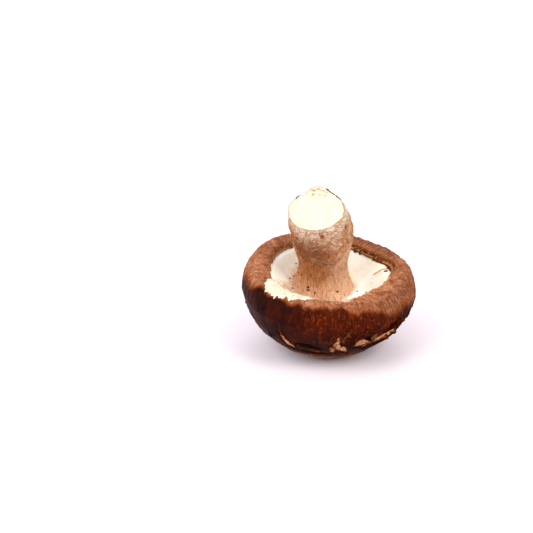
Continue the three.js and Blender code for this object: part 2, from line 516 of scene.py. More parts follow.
@dataclass(frozen=True)
class CapSkin:
    """Cuticle of a shiitake cap: smooth and greasy on its sides, fibrous and dull on the rolled margin.

    Thin dark skin over pale flesh gives a deep red-brown with orange where it thins, stronger on the lit side
    as painted light, and pale tears.
    """

    side_black: str = "#150402"
    side_dark: str = "#240803"
    side_red: str = "#431003"
    side_orange: str = "#7b3208"
    side_brown: str = "#74340f"
    hair_tan: str = "#b06d3c"
    margin_pink: str = "#b4704a"
    margin_dark: str = "#6f3a20"
    margin_pale: str = "#d09a7b"
    margin_warm: str = "#84401a"
    margin_dusk: str = "#6b371d"
    shred_tan: str = "#c8864b"
    lip_underside_shade: str = "#643013"
    flesh_edge: str = "#7c3812"
    flesh_dark: str = "#955529"
    flesh: str = "#c18a60"
    flesh_pale: str = "#e3bd9a"
    ridge: str = "#a9704f"
    hollow: str = "#3f1809"
    streak_width: float = 0.50
    fibre_width: float = 0.42

    def make(self) -> Material:
        """Mixes the skin.

        Returns:
            A material that reads the cap's marks: grain, margin, flesh, net, pit, lip, under, glow,
            scale, rough, char, dusk and warm.
        """
        p = Paint("shiitake_cap_cuticle")
        grain = p.mark("grain", vector=True)
        margin, flesh, net, pit = (p.mark(m) for m in ("margin", "flesh", "net", "pit"))
        lip, under, thin_and_lit, scale = (p.mark(m) for m in ("lip", "under", "thin_and_lit", "scale"))
        streak = p.speckle(self.streak_width, grain, 5.0, (1.0, 1.0, 0.14), 0.70, 0.7)
        broad = p.speckle(self.streak_width * 4.5, grain, 4.0, (1.0, 1.0, 0.30), 0.65, 0.8)
        cloud = p.speckle(6.0, detail=4.0, rough=0.65)
        fibre = p.speckle(self.fibre_width, grain, 5.0, (1.0, 1.0, 0.20), 0.75, 1.0)
        mottle = p.speckle(1.3, detail=5.0, rough=0.7, bent=0.6)
        # Dark skin with redder clouds, and red and orange streaks where the skin thins, stronger on the lit
        # front right as painted light.
        p.colour = p.shades(cloud, (0.36, self.side_black), (0.50, self.side_dark), (0.72, self.side_red))
        p.coat(self.side_red, p.times(thin_and_lit, 0.70))
        p.coat(self.side_black, p.eased(broad, 0.50, 0.70, 0.55))
        patchy = p.times(thin_and_lit, p.eased(p.speckle(2.8, rough=0.6), 0.40, 0.62, 1.0, 0.25))
        p.coat(self.side_orange, p.times(p.eased(streak, 0.46, 0.72, 0.80), patchy))
        p.coat(self.side_orange, p.times(p.eased(mottle, 0.54, 0.68, 0.80), thin_and_lit))
        p.coat(self.side_black, p.eased(streak, 0.44, 0.28, 0.40))
        # The rough patch: dark warts between brown specks.
        rough_patch = p.mark("rough")
        p.dust(self.side_black, rough_patch, mottle, 0.50, 0.36, 0.55)
        p.dust(self.side_brown, rough_patch, mottle, 0.55, 0.68, 0.70)
        # The margin: pink-brown felt with darker and paler hairs that run down over the side.
        felt = p.shades(fibre, (0.38, self.margin_dark), (0.50, self.margin_pink), (0.64, self.margin_pale))
        edge = p.frayed(margin, streak, 0.9)
        p.coat(self.side_brown, p.eased(edge, 0.02, 0.42, 0.85))
        p.coat(self.hair_tan, p.times(p.eased(edge, 0.30, 0.60), p.eased(fibre, 0.48, 0.62, 0.9)))
        p.coat(felt, p.eased(edge, 0.40, 0.95))
        blotch = p.speckle(4.5, detail=4.0, rough=0.65, bent=0.5)
        p.dust(self.margin_dark, margin, blotch, 0.50, 0.68, 0.75)
        p.dust(self.margin_pale, margin, blotch, 0.46, 0.30, 0.50)
        p.dust(self.margin_dark, margin, mottle, 0.52, 0.66, 0.65)
        p.dust(self.margin_dusk, p.mark("dusk"), fibre, 0.64, 0.42, 0.90, 0.45)
        p.dust(self.margin_warm, p.mark("warm"), fibre, 0.66, 0.40, 0.90, 0.35)
        # Raised pale net over dark hollows on the crown.
        p.dust(self.hollow, pit, mottle, 0.25, 0.60, 0.95, 0.55)
        p.dust(self.ridge, net, mottle, 0.20, 0.55, 0.95, 0.5)
        # Torn places show the flesh: brown at the edges, pale in the middle.
        shredded = p.maths("ADD", p.times(mottle, 0.3), p.times(fibre, 0.7))
        torn = p.shades(shredded, (0.42, self.flesh_dark), (0.50, self.flesh), (0.58, self.flesh_pale))
        ragged = p.frayed(flesh, mottle, 0.9)
        p.coat(self.flesh_edge, p.times(p.eased(ragged, 0.15, 0.45, 0.9), p.eased(flesh, 0.02, 0.12)))
        p.coat(torn, p.times(p.eased(ragged, 0.42, 0.80), p.eased(flesh, 0.10, 0.35)))
        # Painted shade: the floors of the dark cracks, and the curled skin at tear edges, darkened to near
        # black.
        p.coat(self.side_black, p.eased(p.mark("char"), 0.25, 0.80, 0.9))
        p.dust(self.shred_tan, scale, mottle, 0.40, 0.62, 0.75)
        p.dust(self.shred_tan, lip, fibre, 0.38, 0.62, 0.85)
        # Painted shade: the lip's underside at the back darkened to brown.
        p.dust(self.lip_underside_shade, under, fibre, 0.25, 0.75, 0.95, 0.6)
        soft = p.times(flesh, 0.45)
        dull = p.maths("MAXIMUM", p.maths("MAXIMUM", margin, rough_patch), p.maths("MAXIMUM", soft, net))
        rough = p.maths("ADD", p.eased(dull, 0.0, 0.8, 0.78, 0.40), p.times(mottle, 0.14))
        felted = p.times(fibre, p.eased(dull, 0.0, 0.7, 1.0, 0.10))
        relief = [(streak, 0.14), (felted, 0.30), (p.times(mottle, dull), 0.45)]
        return p.finish(relief, rough, IOR=1.42, Specular_IOR_Level=0.035, Subsurface_Weight=0.06,
                        Subsurface_Radius=(1.0, 0.45, 0.2), Subsurface_Scale=0.0012)


@dataclass(frozen=True)
class GillTissue:
    """Gill tissue: thin moist blades of hyphae, cream white, that pass light, with painted shade in tan between
    the blades.
    """

    white: str = "#fffdf5"
    cream: str = "#fff6e0"
    shade: str = "#d2b98f"
    rosy: str = "#e9cdb9"
    stain: str = "#cc9046"
    foot: str = "#deaa84"
    foot_pale: str = "#f3d9bd"
    shaded_hole: str = "#200c06"

    def make(self) -> Material:
        """Mixes the tissue.

        Returns:
            A material that reads the gills' marks: valley, stain, foot, hole and rosy.
        """
        p = Paint("shiitake_gill_tissue")
        valley_shade, stain, foot, shaded_hole, rosy = (p.mark(m) for m in ("valley_shade", "stain", "foot", "shaded_hole", "rosy"))
        cloud = p.speckle(4.0, detail=4.0)
        fine = p.speckle(0.5, detail=4.0, rough=0.65)
        p.colour = p.shades(cloud, (0.30, self.cream), (0.60, self.white))
        # Painted shade: tan between the blades, deepest where they part most.
        p.coat(self.shade, p.times(valley_shade, 0.24))
        p.coat(self.rosy, p.times(rosy, 0.95))
        spun = p.shades(fine, (0.40, self.foot), (0.66, self.foot_pale))
        p.coat(spun, p.eased(p.times(foot, p.eased(fine, 0.3, 0.6, 1.0, 0.6)), 0.05, 0.85))
        spoiled = p.frayed(stain, fine, 0.8)
        p.coat(self.stain, p.eased(spoiled, 0.35, 0.75, 0.9))
        # Painted shadow: the small pit at the crease's outer end painted near black.
        p.coat(self.shaded_hole, p.eased(shaded_hole, 0.25, 0.50))
        return p.finish([(fine, 0.08)], 0.72, IOR=1.40, Specular_IOR_Level=0.3, Subsurface_Weight=0.35,
                        Subsurface_Radius=(1.0, 0.95, 0.85), Subsurface_Scale=0.0020)


@dataclass(frozen=True)
class StemRind:
    """Stem of packed lengthwise fibres under a scurfy rind, and white flesh where the knife cut it."""

    neck: str = "#b36a33"
    neck_dark: str = "#6c3411"
    neck_pale: str = "#d09660"
    fleck_pale: str = "#e6b98a"
    lit_side_pink: str = "#ecbd9b"
    foot_pink: str = "#ecb994"
    foot_cream: str = "#f6dcc0"
    head_tan: str = "#ad774a"
    scurf: str = "#faead4"
    scurf_grey: str = "#d6bf9e"
    crack: str = "#62300f"
    spot: str = "#8a3d1b"
    cut_white: str = "#dad6bd"
    cut_cream: str = "#d3cbaa"
    cut_edge: str = "#a2602e"
    bark: str = "#54240e"

    def make(self) -> Material:
        """Mixes the rind and the cut.

        Returns:
            A material that reads the stem's marks: grain, head, foot, base, cut, rim, brown, plate, spot,
            bark, pale, low and near.
        """
        p = Paint("shiitake_stem_rind")
        grain = p.mark("grain", vector=True)
        head, foot, cut, brown = (p.mark(m) for m in ("head", "foot", "cut", "brown"))
        plate, spot, bark, pale = (p.mark(m) for m in ("plate", "spot", "bark", "pale"))
        low, near = p.mark("low"), p.mark("near")
        fibre = p.speckle(0.32, grain, 5.0, (1.0, 1.0, 0.16), 0.7, 0.6)
        fleck = p.speckle(0.42, grain, 4.0, (1.0, 1.0, 0.36), 0.7, 1.6)
        cross = p.speckle(0.9, grain, 4.0, (0.40, 0.40, 1.0), 0.6, 0.8)
        mottle = p.speckle(1.1, detail=5.0, rough=0.7, bent=0.8)
        fine = p.speckle(0.38, detail=4.0, rough=0.7)
        # Neck: brown fibres with pale and dark flecks, pinker at the foot, and paler pink on the right as
        # painted light where the key light falls.
        p.colour = p.shades(fibre, (0.30, self.neck_dark), (0.50, self.neck), (0.74, self.neck_pale))
        p.dust(self.lit_side_pink, pale, mottle, 0.25, 0.6, 0.85, 0.35)
        p.dust(self.foot_pink, foot, fibre, 0.34, 0.6, 0.85, 0.25)
        p.dust(self.foot_cream, p.mark("base"), fibre, 0.42, 0.62, 0.75, 0.05)
        p.coat(self.neck_dark, p.eased(fleck, 0.44, 0.30, 0.80))
        p.coat(self.fleck_pale, p.eased(fleck, 0.56, 0.70, 0.80))
        # Head: tan skin under patches of pale scurf, with brown cracks between them, browner low down as
        # painted shade except on the lit front right.
        skin = p.shades(mottle, (0.30, self.neck), (0.50, self.head_tan), (0.72, self.scurf))
        p.coat(skin, head)
        p.coat(self.scurf, p.times(p.times(head, plate), p.eased(cross, 0.36, 0.62, 0.60)))
        patches = p.eased(p.speckle(3.2, rough=0.6), 0.50, 0.60, 0.80)
        p.coat(self.scurf_grey, p.times(head, patches))
        p.dust(self.head_tan, head, fine, 0.54, 0.40, 0.75)
        # Painted shade: the head's lower part browned, less on the side facing the key light.
        p.dust(self.neck, low, cross, 0.66, 0.38, 0.95, 0.25)
        p.dust(self.scurf, near, mottle, 0.38, 0.58, 0.60, 0.10)
        p.dust(self.crack, head, fine, 0.55, 0.62, 0.90)
        p.dust(self.crack, near, fine, 0.52, 0.62, 0.85)
        # A dark brown stain on the left, painted shadow just under the collar's overhang, and a darker band
        # below.
        p.dust(self.neck_dark, brown, mottle, 0.30, 0.60, 0.90, 0.40)
        p.coat(self.spot, p.eased(spot, 0.30, 0.65, 0.9))
        # The knife's cut: dense white flesh with faint drag lines, in a thin brown edge of rind.
        flesh = p.shades(cross, (0.35, self.cut_cream), (0.60, self.cut_white))
        edge = p.frayed(cut, fine, 0.9)
        p.coat(flesh, p.eased(edge, 0.30, 0.60))
        p.dust(self.cut_edge, p.mark("rim"), mottle, 0.47, 0.60, 0.90)
        p.coat(self.bark, p.eased(bark, 0.35, 0.6))
        skin_share = p.maths("SUBTRACT", 1.0, cut)
        relief = [(p.times(p.maths("SUBTRACT", height, 0.5), skin_share), depth)
                  for height, depth in ((fibre, 0.26), (mottle, 0.34), (fleck, 0.20), (fine, 0.20))]
        return p.finish(relief, p.eased(cut, 0.2, 0.8, 0.62, 0.80), IOR=1.40, Specular_IOR_Level=0.3,
                        Subsurface_Weight=0.08, Subsurface_Radius=(1.0, 0.7, 0.5), Subsurface_Scale=0.0012)


@dataclass(frozen=True)
class VeilShred:
    """Torn veil: a cobweb of hyphae that joined cap and stem, white when fresh and tan where it dried."""

    white: str = "#efe0c5"
    tan: str = "#c48a52"
    brown: str = "#a4683a"

    def make(self) -> Material:
        """Mixes the shreds; the mark fresh says how white they are."""
        p = Paint("torn_veil_hyphae")
        fine = p.speckle(0.4, detail=4.0, rough=0.7)
        p.colour = p.shades(fine, (0.30, self.brown), (0.65, self.tan))
        p.coat(self.white, p.eased(p.mark("fresh"), 0.20, 0.80))
        p.coat(self.tan, p.times(p.eased(fine, 0.55, 0.70, 0.45), p.eased(p.mark("fresh"), 0.9, 0.3)))
        return p.finish([(fine, 0.40)], 0.85, IOR=1.40, Specular_IOR_Level=0.25, Subsurface_Weight=0.15,
                        Subsurface_Radius=(1.0, 0.75, 0.5), Subsurface_Scale=0.0010)


@dataclass(frozen=True)
class HyphalThread:
    """Loose threads of hyphae, dry and dull: each one colour from its dark to its pale, like lint."""

    name: str
    dark: str
    middle: str
    pale: str

    def make(self) -> Material:
        """Mixes the threads; the mark tint says how pale each one is."""
        p = Paint(self.name)
        p.colour = p.shades(p.mark("tint"), (0.10, self.dark), (0.50, self.middle), (0.90, self.pale))
        return p.finish([(p.speckle(0.3), 0.05)], 0.85, IOR=1.40, Specular_IOR_Level=0.1)


@dataclass(frozen=True)
class GrowingMedium:
    """Sawdust growing medium: damp dark grains of composted wood, rough and without shine."""

    dark: str = "#1f120b"
    light: str = "#59351e"

    def make(self) -> Material:
        """Mixes the grains."""
        p = Paint("sawdust_growing_medium")
        fine = p.speckle(0.25)
        p.colour = p.shades(fine, (0.4, self.dark), (0.75, self.light))
        return p.finish([(fine, 0.10)], 0.85, IOR=1.45)


@dataclass(frozen=True)
class StudioPaper:
    """Seamless background paper: matt, white with the faintest mauve in its shadows."""

    tone: str = "#ece3ea"
    pulp: str = "#eee6ec"

    def make(self) -> Material:
        """Mixes the paper, with pulp clouds too weak to see as more than softness."""
        p = Paint("seamless_background_paper")
        p.colour = p.shades(p.speckle(60.0), (0.3, self.tone), (0.7, self.pulp))
        return p.finish([], 0.9, Specular_IOR_Level=0.1)


# ---------------------------------------------------------------- the mushroom's shape


@dataclass(frozen=True)
class CapForm:
    """The cap's driving sizes and the smooth surface that everything else stands on, in millimetres."""

    radius: float = 30.5
    shoulder_height: float = 21.6
    rim_height: float = 29.6
    rim_radius: float = 25.0
    lip_radius: float = 21.3
    lip_drop: float = 2.0
    gill_inner_height: float = 21.2
    gill_outer_height: float = 28.0
    gill_depth: float = 3.2
    gill_inner_radius: float = 6.0
    gill_outer_radius: float = 21.0
    gap: float = 0.3
    foot_room: float = 0.9
    outline_waves: tuple[tuple[float, int, float], ...] = (
        (0.010, 2, -0.3), (0.008, 3, 0.4), (0.005, 5, -1.1))
    rim_waves: tuple[tuple[float, int, float], ...] = ((0.9, 1, -2.5), (0.4, 3, -0.8))
    dome: tuple[tuple[float, float], ...] = (
        (0, 0), (8, 0.35), (13.8, 1.8), (18.4, 4.2), (22.9, 7.8), (26.4, 12.0), (28.9, 16.3))

    def outline(self, angle: Array) -> Array:
        """Share added to the radius at each angle, as the sum of three waves round the cap."""
        return sum(share * np.cos(count * angle + shift) for share, count, shift in self.outline_waves)

    def rim_lift(self, angle: Array) -> Array:
        """Rise and fall of the margin in millimetres, as the sum of two waves."""
        return sum(rise * np.cos(count * angle + shift) for rise, count, shift in self.rim_waves)

    def bent(self, radius: Array, angle: Array, height: Array) -> Array:
        """Bends round points to the cap's outline and wavy margin.

        The radius grows by the outline's share, faded in from the axis, and the height by the
        rim's lift, faded in from the crown and from the axis.

        Args:
            radius: distance from the axis.
            angle: angle about it, in radians.
            height: height above the crown.

        Returns:
            Points, the last axis holding x, y and z.
        """
        wide = 1 + self.outline(angle) * ramp(radius, 4, self.radius)
        lift = self.rim_lift(angle) * ramp(height, 6, self.rim_height) * ramp(radius, 10, self.lip_radius)
        return polar(radius * wide, angle, height + lift)

    def veil_share(self, angle: Array) -> Array:
        """Where the veil still hangs over the margin, in front and to the left: 1 there, fading to 0."""
        return facing(angle, -131, 0.84, 0.99)

    def gill_height(self, radius: Array) -> Array:
        """Height of the gills' edges: inner to outer height, by the share of the radius to the power 1.5."""
        share = np.clip((radius - 9) / (self.lip_radius - 9), 0, 1)
        return self.gill_inner_height + (self.gill_outer_height - self.gill_inner_height) * share**1.5

    def section(self) -> Array:
        """Half of the cap's section, as (radius, height) from the crown round the margin to its inner edge.

        A smooth curve through the dome's stations, then a quarter ellipse over the shoulder to the
        rim, then a quarter ellipse down to the lip.
        """
        stations = np.array([*self.dome, (self.radius, self.shoulder_height)], float)
        outer = arc((self.rim_radius, self.shoulder_height),
                    (self.radius - self.rim_radius, self.rim_height - self.shoulder_height), 0, 90, 60)
        inner = arc((self.rim_radius, self.rim_height - self.lip_drop),
                    (self.rim_radius - self.lip_radius, self.lip_drop), 90, 180, 40)
        return np.vstack([through(stations, 400), outer[1:], inner[1:]])

    def seat(self) -> Array:
        """The rest of the section, down behind the gills and in under them and the stem's foot."""
        radius = np.array([self.lip_radius, 18, 15, 12, 9, 6, 3, 0.6])
        sunk = self.foot_room * (1 - ramp(radius, 10, 14))
        return np.stack([radius, self.gill_height(radius) - self.gill_depth - self.gap - sunk], axis=1)


def lengths_along(section: Array) -> Array:
    """Distance along a line of points, from its first."""
    return np.concatenate([[0], np.cumsum(np.linalg.norm(np.diff(section, axis=0), axis=1))])


@dataclass(frozen=True)
class Lie:
    """The way the mushroom lies: its lean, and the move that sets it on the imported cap."""

    lean_forward: float = 5.5
    lean_side: float = 2.0
    form: CapForm = CapForm()

    def turned(self, points: Array) -> Array:
        """Leans points: a turn about X by the forward lean, then about Y by the side lean."""
        a, b = math.radians(self.lean_forward), math.radians(self.lean_side)
        about_x = np.array([[1, 0, 0], [0, math.cos(a), -math.sin(a)], [0, math.sin(a), math.cos(a)]])
        about_y = np.array([[math.cos(b), 0, math.sin(b)], [0, 1, 0], [-math.sin(b), 0, math.cos(b)]])
        return points @ (about_y @ about_x).T

    def move(self) -> Array:
        """Millimetres that the leaned shape moves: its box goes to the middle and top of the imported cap's."""
        angle = np.linspace(0, TURN, 361)[None, :]
        radius, height = (self.form.section()[:, k, None] for k in range(2))
        leaned = self.turned(self.form.bent(radius, angle, height)).reshape(-1, 3)
        low, high = (np.array(corner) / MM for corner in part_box("cap"))
        middle = (low + high) / 2 - (leaned.min(axis=0) + leaned.max(axis=0)) / 2
        return np.array([middle[0], middle[1], high[2] - leaned[:, 2].max()])

    def place(self, points: Array) -> Array:
        """Takes upright millimetre points to the shared frame in metres, none below the floor."""
        placed = (self.turned(points) + self.move()) * MM
        placed[..., 2] = np.maximum(placed[..., 2], 0.0)
        return placed


@dataclass(frozen=True)
class Tear:
    """One tear in the cap's skin: a lens that is fuller at one end, in degrees and millimetres."""

    angle: float
    height: float
    length: float
    width: float
    turn: float
    depth: float = 0.8
    curl: float = 0.35
    bow: float = 0.0
    flesh: float = 1.0
    # Share of painted shade that darkens the tear's floor to near black.
    char: float = 0.0

    def across(self, angle: Array, along: Array, centre: float, radius: Array) -> tuple[Array, Array]:
        """Where each point of the skin lies in the tear.

        The point's distance round and along the skin from the tear's middle is turned by the tear's
        angle. Its side distance, less the bow, is set against the tear's half width there. At a share q
        of the way from the middle to an end, that is half the width times (1 - q^2) * (1 + 0.6 q).

        Args:
            angle: angles of the skin's points, in radians.
            along: their distances along the cap's section.
            centre: the middle's distance along the section.
            radius: the points' distances from the axis.

        Returns:
            The side distance less the half width, negative inside, and the signed side distance.
        """
        round_way = wrapped(angle - math.radians(self.angle)) * radius
        up_way = along - centre
        c, s = math.cos(math.radians(self.turn)), math.sin(math.radians(self.turn))
        forth = round_way * c + up_way * s
        share = 2 * forth / self.length
        side = -round_way * s + up_way * c - self.bow * share**2
        return np.abs(side) - self.width / 2 * (1 - share**2) * (1 + 0.6 * np.clip(share, -1, 1)), side


def hand_tears() -> tuple[Tear, ...]:
    """The tears that give the front of the cap its look: a forked one, a long low band, and a dark crack."""
    return (
        Tear(-84.2, 15.2, 13.0, 3.0, 266, 0.5, 0.5, 0.3, 0.78),
        Tear(-86.6, 10.4, 8.5, 2.6, 104, 0.7, 0.4, 0.3, 0.95),
        Tear(-79.2, 11.2, 12.5, 3.4, 126, 0.7, 0.5, 0.5, 1.15),
        Tear(-122.0, 12.6, 14.0, 3.4, -66, 0.6, 0.5, 0.9, 0.82),
        Tear(-113.5, 12.0, 5.0, 1.0, 78, 0.4, 0.6, 0.3, 0.60),
        Tear(-103.5, 13.4, 12.5, 1.7, 166, 1.5, 0.5, 0.9, 0.0, 1.0),
        Tear(-98.0, 9.6, 13.0, 2.6, 172, 0.4, 0.6, 0.9, 0.36),
        Tear(-64.0, 14.4, 8.5, 4.8, 200, 0.7, 0.6, -0.3, 1.3),
        Tear(-58.0, 12.0, 6.5, 3.0, 220, 0.8, 0.6, -0.3, 1.0),
        Tear(-50.0, 15.2, 12.0, 4.2, 204, 0.7, 0.7, -0.5, 1.25),
        Tear(-37.5, 17.6, 9.5, 3.4, 214, 0.7, 0.9, 0.4, 1.2),
        Tear(-43.0, 20.4, 7.5, 1.8, 202, 0.8, 1.2, -0.3, 0.0, 0.9),
        Tear(-60.0, 17.8, 5.0, 1.5, 208, 0.9, 0.9, -0.2, 0.0, 0.9),
        Tear(-66.0, 21.0, 3.6, 0.9, 60, 0.5, 0.3, 0.2, 0.5),
        Tear(-98.0, 18.0, 4.5, 0.8, 84, 0.4, 0.3, 0.2, 0.30),
    )


def sown_tears(count: int, seed: int) -> tuple[Tear, ...]:
    """Tears sown by a seeded draw over the sides and back, where the listed ones don't reach.

    Args:
        count: number of tears.
        seed: the draw's seed.

    Returns:
        The tears, each with its own place, size and slant.
    """
    draw = np.random.default_rng(seed)
    angles = np.linspace(-20, 224, count) + draw.uniform(-12, 12, count)
    return tuple(
        Tear(float(a), draw.uniform(9.0, 19.0), draw.uniform(3, 14), draw.uniform(0.7, 2.8),
             draw.uniform(-45, 45) + 90 * draw.integers(0, 2), draw.uniform(0.4, 1.0),
             draw.uniform(0.2, 0.7), draw.uniform(-1.8, 1.8), draw.uniform(0.2, 0.95))
        for a in angles)


@dataclass
class Cap:
    """The cap: crown net, glossy side with tears, felted margin and torn lip."""

    form: CapForm
    lie: Lie
    columns: int = 420
    skin_rows: int = 214
    seat_rows: int = 14
    lump: float = 0.45
    net_height: float = 0.55
    pit_depth: float = 0.75
    curl_share: float = 0.7
    tear_share: float = 0.8
    streak_height: float = 0.22
    felt_height: float = 0.26
    tuft_height: float = 0.28
    wart_height: float = 0.55
    scale_height: float = 0.18
    shred_length: float = 0.8
    front_shift: float = 6.0
    margin_fade: float = 7.8
    front_fade: float = 4.8
    lip_bells: tuple[tuple[float, float, float], ...] = (
        (1.7, 13, 0.20), (-1.0, 44, 0.30), (-3.0, -39, 0.38), (-1.2, -72, 0.36))
    tears: tuple[Tear, ...] = field(default_factory=lambda: hand_tears() + sown_tears(21, 5))
    finished: Array = field(init=False)
    felt_share: Array = field(init=False)

    def sampled(self) -> tuple[Array, Array]:
        """Spaces the skin's rows along the section, closer together towards the margin.

        Returns:
            Section points as (radius, height), and the distance along the section of each.
        """
        line = self.form.section()
        length = lengths_along(line)
        share = np.linspace(0.012, 1, self.skin_rows) ** 0.86
        along = share * length[-1]
        return np.stack([np.interp(along, length, line[:, k]) for k in range(2)], axis=1), along

    def lumps(self, points: Array) -> Array:
        """Gentle unevenness of the whole skin in millimetres: layered noise with marks of about 11 mm."""
        return self.lump * layered(points, 11.0, 3, 2)

    def skin(self, angle: Array, radius: Array, height: Array) -> Array:
        """A point of the skin with only its gentle unevenness, for what lies on it."""
        points = self.form.bent(radius, angle, height)
        return points + np.array([0, 0, 1.0]) * self.lumps(points)[..., None]

    def crown(self, points: Array, radius: Array) -> tuple[Array, Array, Array]:
        """The crown's raised net over its hollows.

        Cells of about 6 mm, with smaller ones of 2.7 mm inside, are drawn out away from the axis. A
        ridge stands where two cells meet, and each hollow is sunk by its own depth.

        Args:
            points: upright points of the skin.
            radius: their distances from the axis.

        Returns:
            Height of the net in millimetres, how much each point is ridge, and how much hollow.
        """
        sway = np.stack([layered(points, 7.0, 30 + k, 2) for k in range(3)], axis=-1)
        flat = points * np.array([1, 1, 0.8]) + 1.5 * sway
        near, far, tint = cellular(flat / 6.2, 40)
        small_near, small_far, small_tint = cellular(flat / 2.7, 60)
        main = 1 - ramp(far - near, 0.05, 0.26)
        minor = (1 - ramp(small_far - small_near, 0.06, 0.34)) * 0.55 * (tint > 0.35)
        net = np.maximum(main, minor)
        zone = 1 - ramp(radius + 2.0 * noise(points / 5.0, 8), 17.5, 23.5)
        pit = (1 - net) * (0.55 + 0.45 * tint) * (0.7 + 0.3 * small_tint)
        return zone * (self.net_height * net - self.pit_depth * pit), zone * net, zone * pit

    def torn(self, angle: Array, along: Array, points: Array, section: Array,
             length: Array) -> tuple[Array, Array, Array]:
        """Lays every tear into the skin.

        Inside a tear the skin drops to a floor, and just outside one of its edges curls up as a bell.
        Ragged edges come from noise added to the side distance, and another noise thins the flesh.

        Args:
            angle: the columns' angles.
            along: the rows' distances along the section.
            points: the skin's upright points.
            section: the rows' (radius, height).
            length: the rows' distances, as one line.

        Returns:
            Height in millimetres, how much flesh shows, and how much painted shade darkens crack floors and
            curled edges, at every point.
        """
        ragged = 0.80 * layered(points, 2.0, 70, 4)
        patchy = 0.66 + 0.34 * ramp(layered(points, 1.8, 71, 2), -0.30, 0.20)
        height, flesh, char = (np.zeros(points.shape[:-1]) for _ in range(3))
        radius, rising = section[:, :1], self.shoulder_row(section)
        for tear in self.tears:
            centre = float(np.interp(tear.height, section[:rising, 1], length[:rising]))
            edge, side = tear.across(angle, along, centre, radius)
            edge = edge + ragged
            inside = 1 - ramp(edge, -0.25, 0.15)
            lifted = bump(edge, 0.15, 0.38) * ramp(side, -0.2, 0.6)
            height += self.curl_share * tear.curl * lifted - self.tear_share * tear.depth * inside
            flesh = np.maximum(flesh, (1 - ramp(edge, -1.1, 0.25)) * tear.flesh * patchy)
            char = np.maximum(char, np.maximum(inside * tear.char, 0.7 * lifted * (edge > 0)))
        return height, flesh, char

    def shoulder_row(self, section: Array) -> int:
        """Number of rows up to the shoulder, where the section's height still only rises."""
        return int(np.argmax(section[:, 1] >= self.form.shoulder_height)) + 1

    def build(self) -> Thing:
        """Makes the cap as one closed surface.

        The skin is the smooth cap pushed out along its normals by lumps, net, tears, radial streaks and
        felt. The seat behind the gills closes it.

        Returns:
            The cap's object.
        """
        angle = all_round(self.columns)
        section, length = self.sampled()
        radius, height, along = section[:, :1], section[:, 1:], length[:, None]
        base = self.form.bent(radius, angle, height)
        grain = polar(np.full_like(along, 30.0), angle, along)
        normal = normals_of(base)
        from_middle = polar(radius, angle, height - self.form.shoulder_height)
        outwards = np.sign((normal * from_middle).sum(axis=-1).mean())
        net_height, net, pit = self.crown(base, radius)
        tear_height, flesh, char = self.torn(angle, along, base, section, length)
        to_rim = int(section[:, 1].argmax()) + 1
        rim_at = float(np.interp(self.form.rim_height - 0.01, section[:to_rim, 1], length[:to_rim]))
        margin = self.margin_share(angle, along, grain, length[self.shoulder_row(section) - 1])
        past_rim = ramp(along, rim_at - 1.0, length[-1])
        streaks = layered(grain, (2.2, 2.2, 14.0), 11, 4)
        felt_place = grain / np.array([0.9, 0.9, 3.0]) + 0.6 * noise(base / 2.5, 16)[..., None]
        felt = layered(felt_place, 1.0, 12, 3)
        tufts = ramp(layered(base, 1.9, 17, 2), 0.05, 0.65)
        warts = ramp(layered(base, 1.5, 13, 2), 0.15, 0.6)
        rough_side = facing(angle, -50, 0.62, 0.95) * bump(height, 17.5, 5.5) * (1 - margin)
        side = (1 - margin) * ramp(along, 24, 32)
        scaly = 0.45 * margin * (1 - past_rim) + 0.5 * rough_side
        scale = ramp(layered(base, 2.2, 14, 2), 0.34, 0.55) * scaly
        calm = 1 - 0.9 * self.form.veil_share(angle) * ramp(along, rim_at - 4.0, rim_at - 1.0)
        push = (self.lumps(base) + net_height + tear_height + self.streak_height * side * streaks
                + calm * margin * (self.felt_height * felt + self.tuft_height * tufts)
                + self.wart_height * rough_side * warts + self.scale_height * calm * scale)
        skin = base + (outwards * push)[..., None] * normal
        lip = ramp(along, rim_at + 1.2, rim_at + 3.4) * np.ones_like(angle)
        shreds = ramp(layered(grain, (0.9, 0.9, 3.0), 15, 2), -0.2, 0.7)
        inner_edge = self.opening(angle) - self.shred_length * calm * (1 - bell(angle, 13, 0.22)) * shreds
        skin = skin + (lip * inner_edge)[..., None] * outward(angle, along)
        floor = self.floor(angle)
        grid = np.concatenate([skin, floor])

        def padded(values: Array) -> Array:
            """Gives the hidden seat the values of the skin's last row."""
            full = np.broadcast_to(values, skin.shape[:2] + values.shape[2:])
            return np.concatenate([full, np.repeat(full[-1:], len(floor), axis=0)])

        marks = {"grain": grain, "margin": margin, "flesh": flesh, "net": net, "pit": pit, "char": char,
                 "scale": scale, "rough": rough_side}
        marks |= self.lip_tints(angle, along, lip, rim_at)
        marks |= self.side_tints(angle, along - rim_at, height, margin, side)
        self.finished, self.felt_share = skin, margin**3 * (1 - 0.8 * past_rim) * (1 - flesh)
        return closed_grid("cap_skin", self.lie.place(grid), {mark: padded(v) for mark, v in marks.items()})

    def margin_share(self, angle: Array, along: Array, grain: Array, shoulder_at: float) -> Array:
        """Where the felted margin is: 1 past its wavy edge, which lies further in on the smooth front.

        Args:
            angle: the columns' angles.
            along: the rows' distances along the section.
            grain: coordinates round and along the skin.
            shoulder_at: distance along the section of the shoulder.

        Returns:
            The share at every point.
        """
        edge_wave = 2.2 * layered(grain, (4.0, 4.0, 40.0), 90, 2)
        smooth_front = facing(angle, -102, 0.25, 0.82)
        hang = 0.8 * facing(angle, -32, 0.86, 0.98)
        margin_at = shoulder_at + 0.6 + self.front_shift * smooth_front - hang
        margin_full = margin_at + self.margin_fade - self.front_fade * smooth_front
        return ramp(along + edge_wave, margin_at, margin_full)

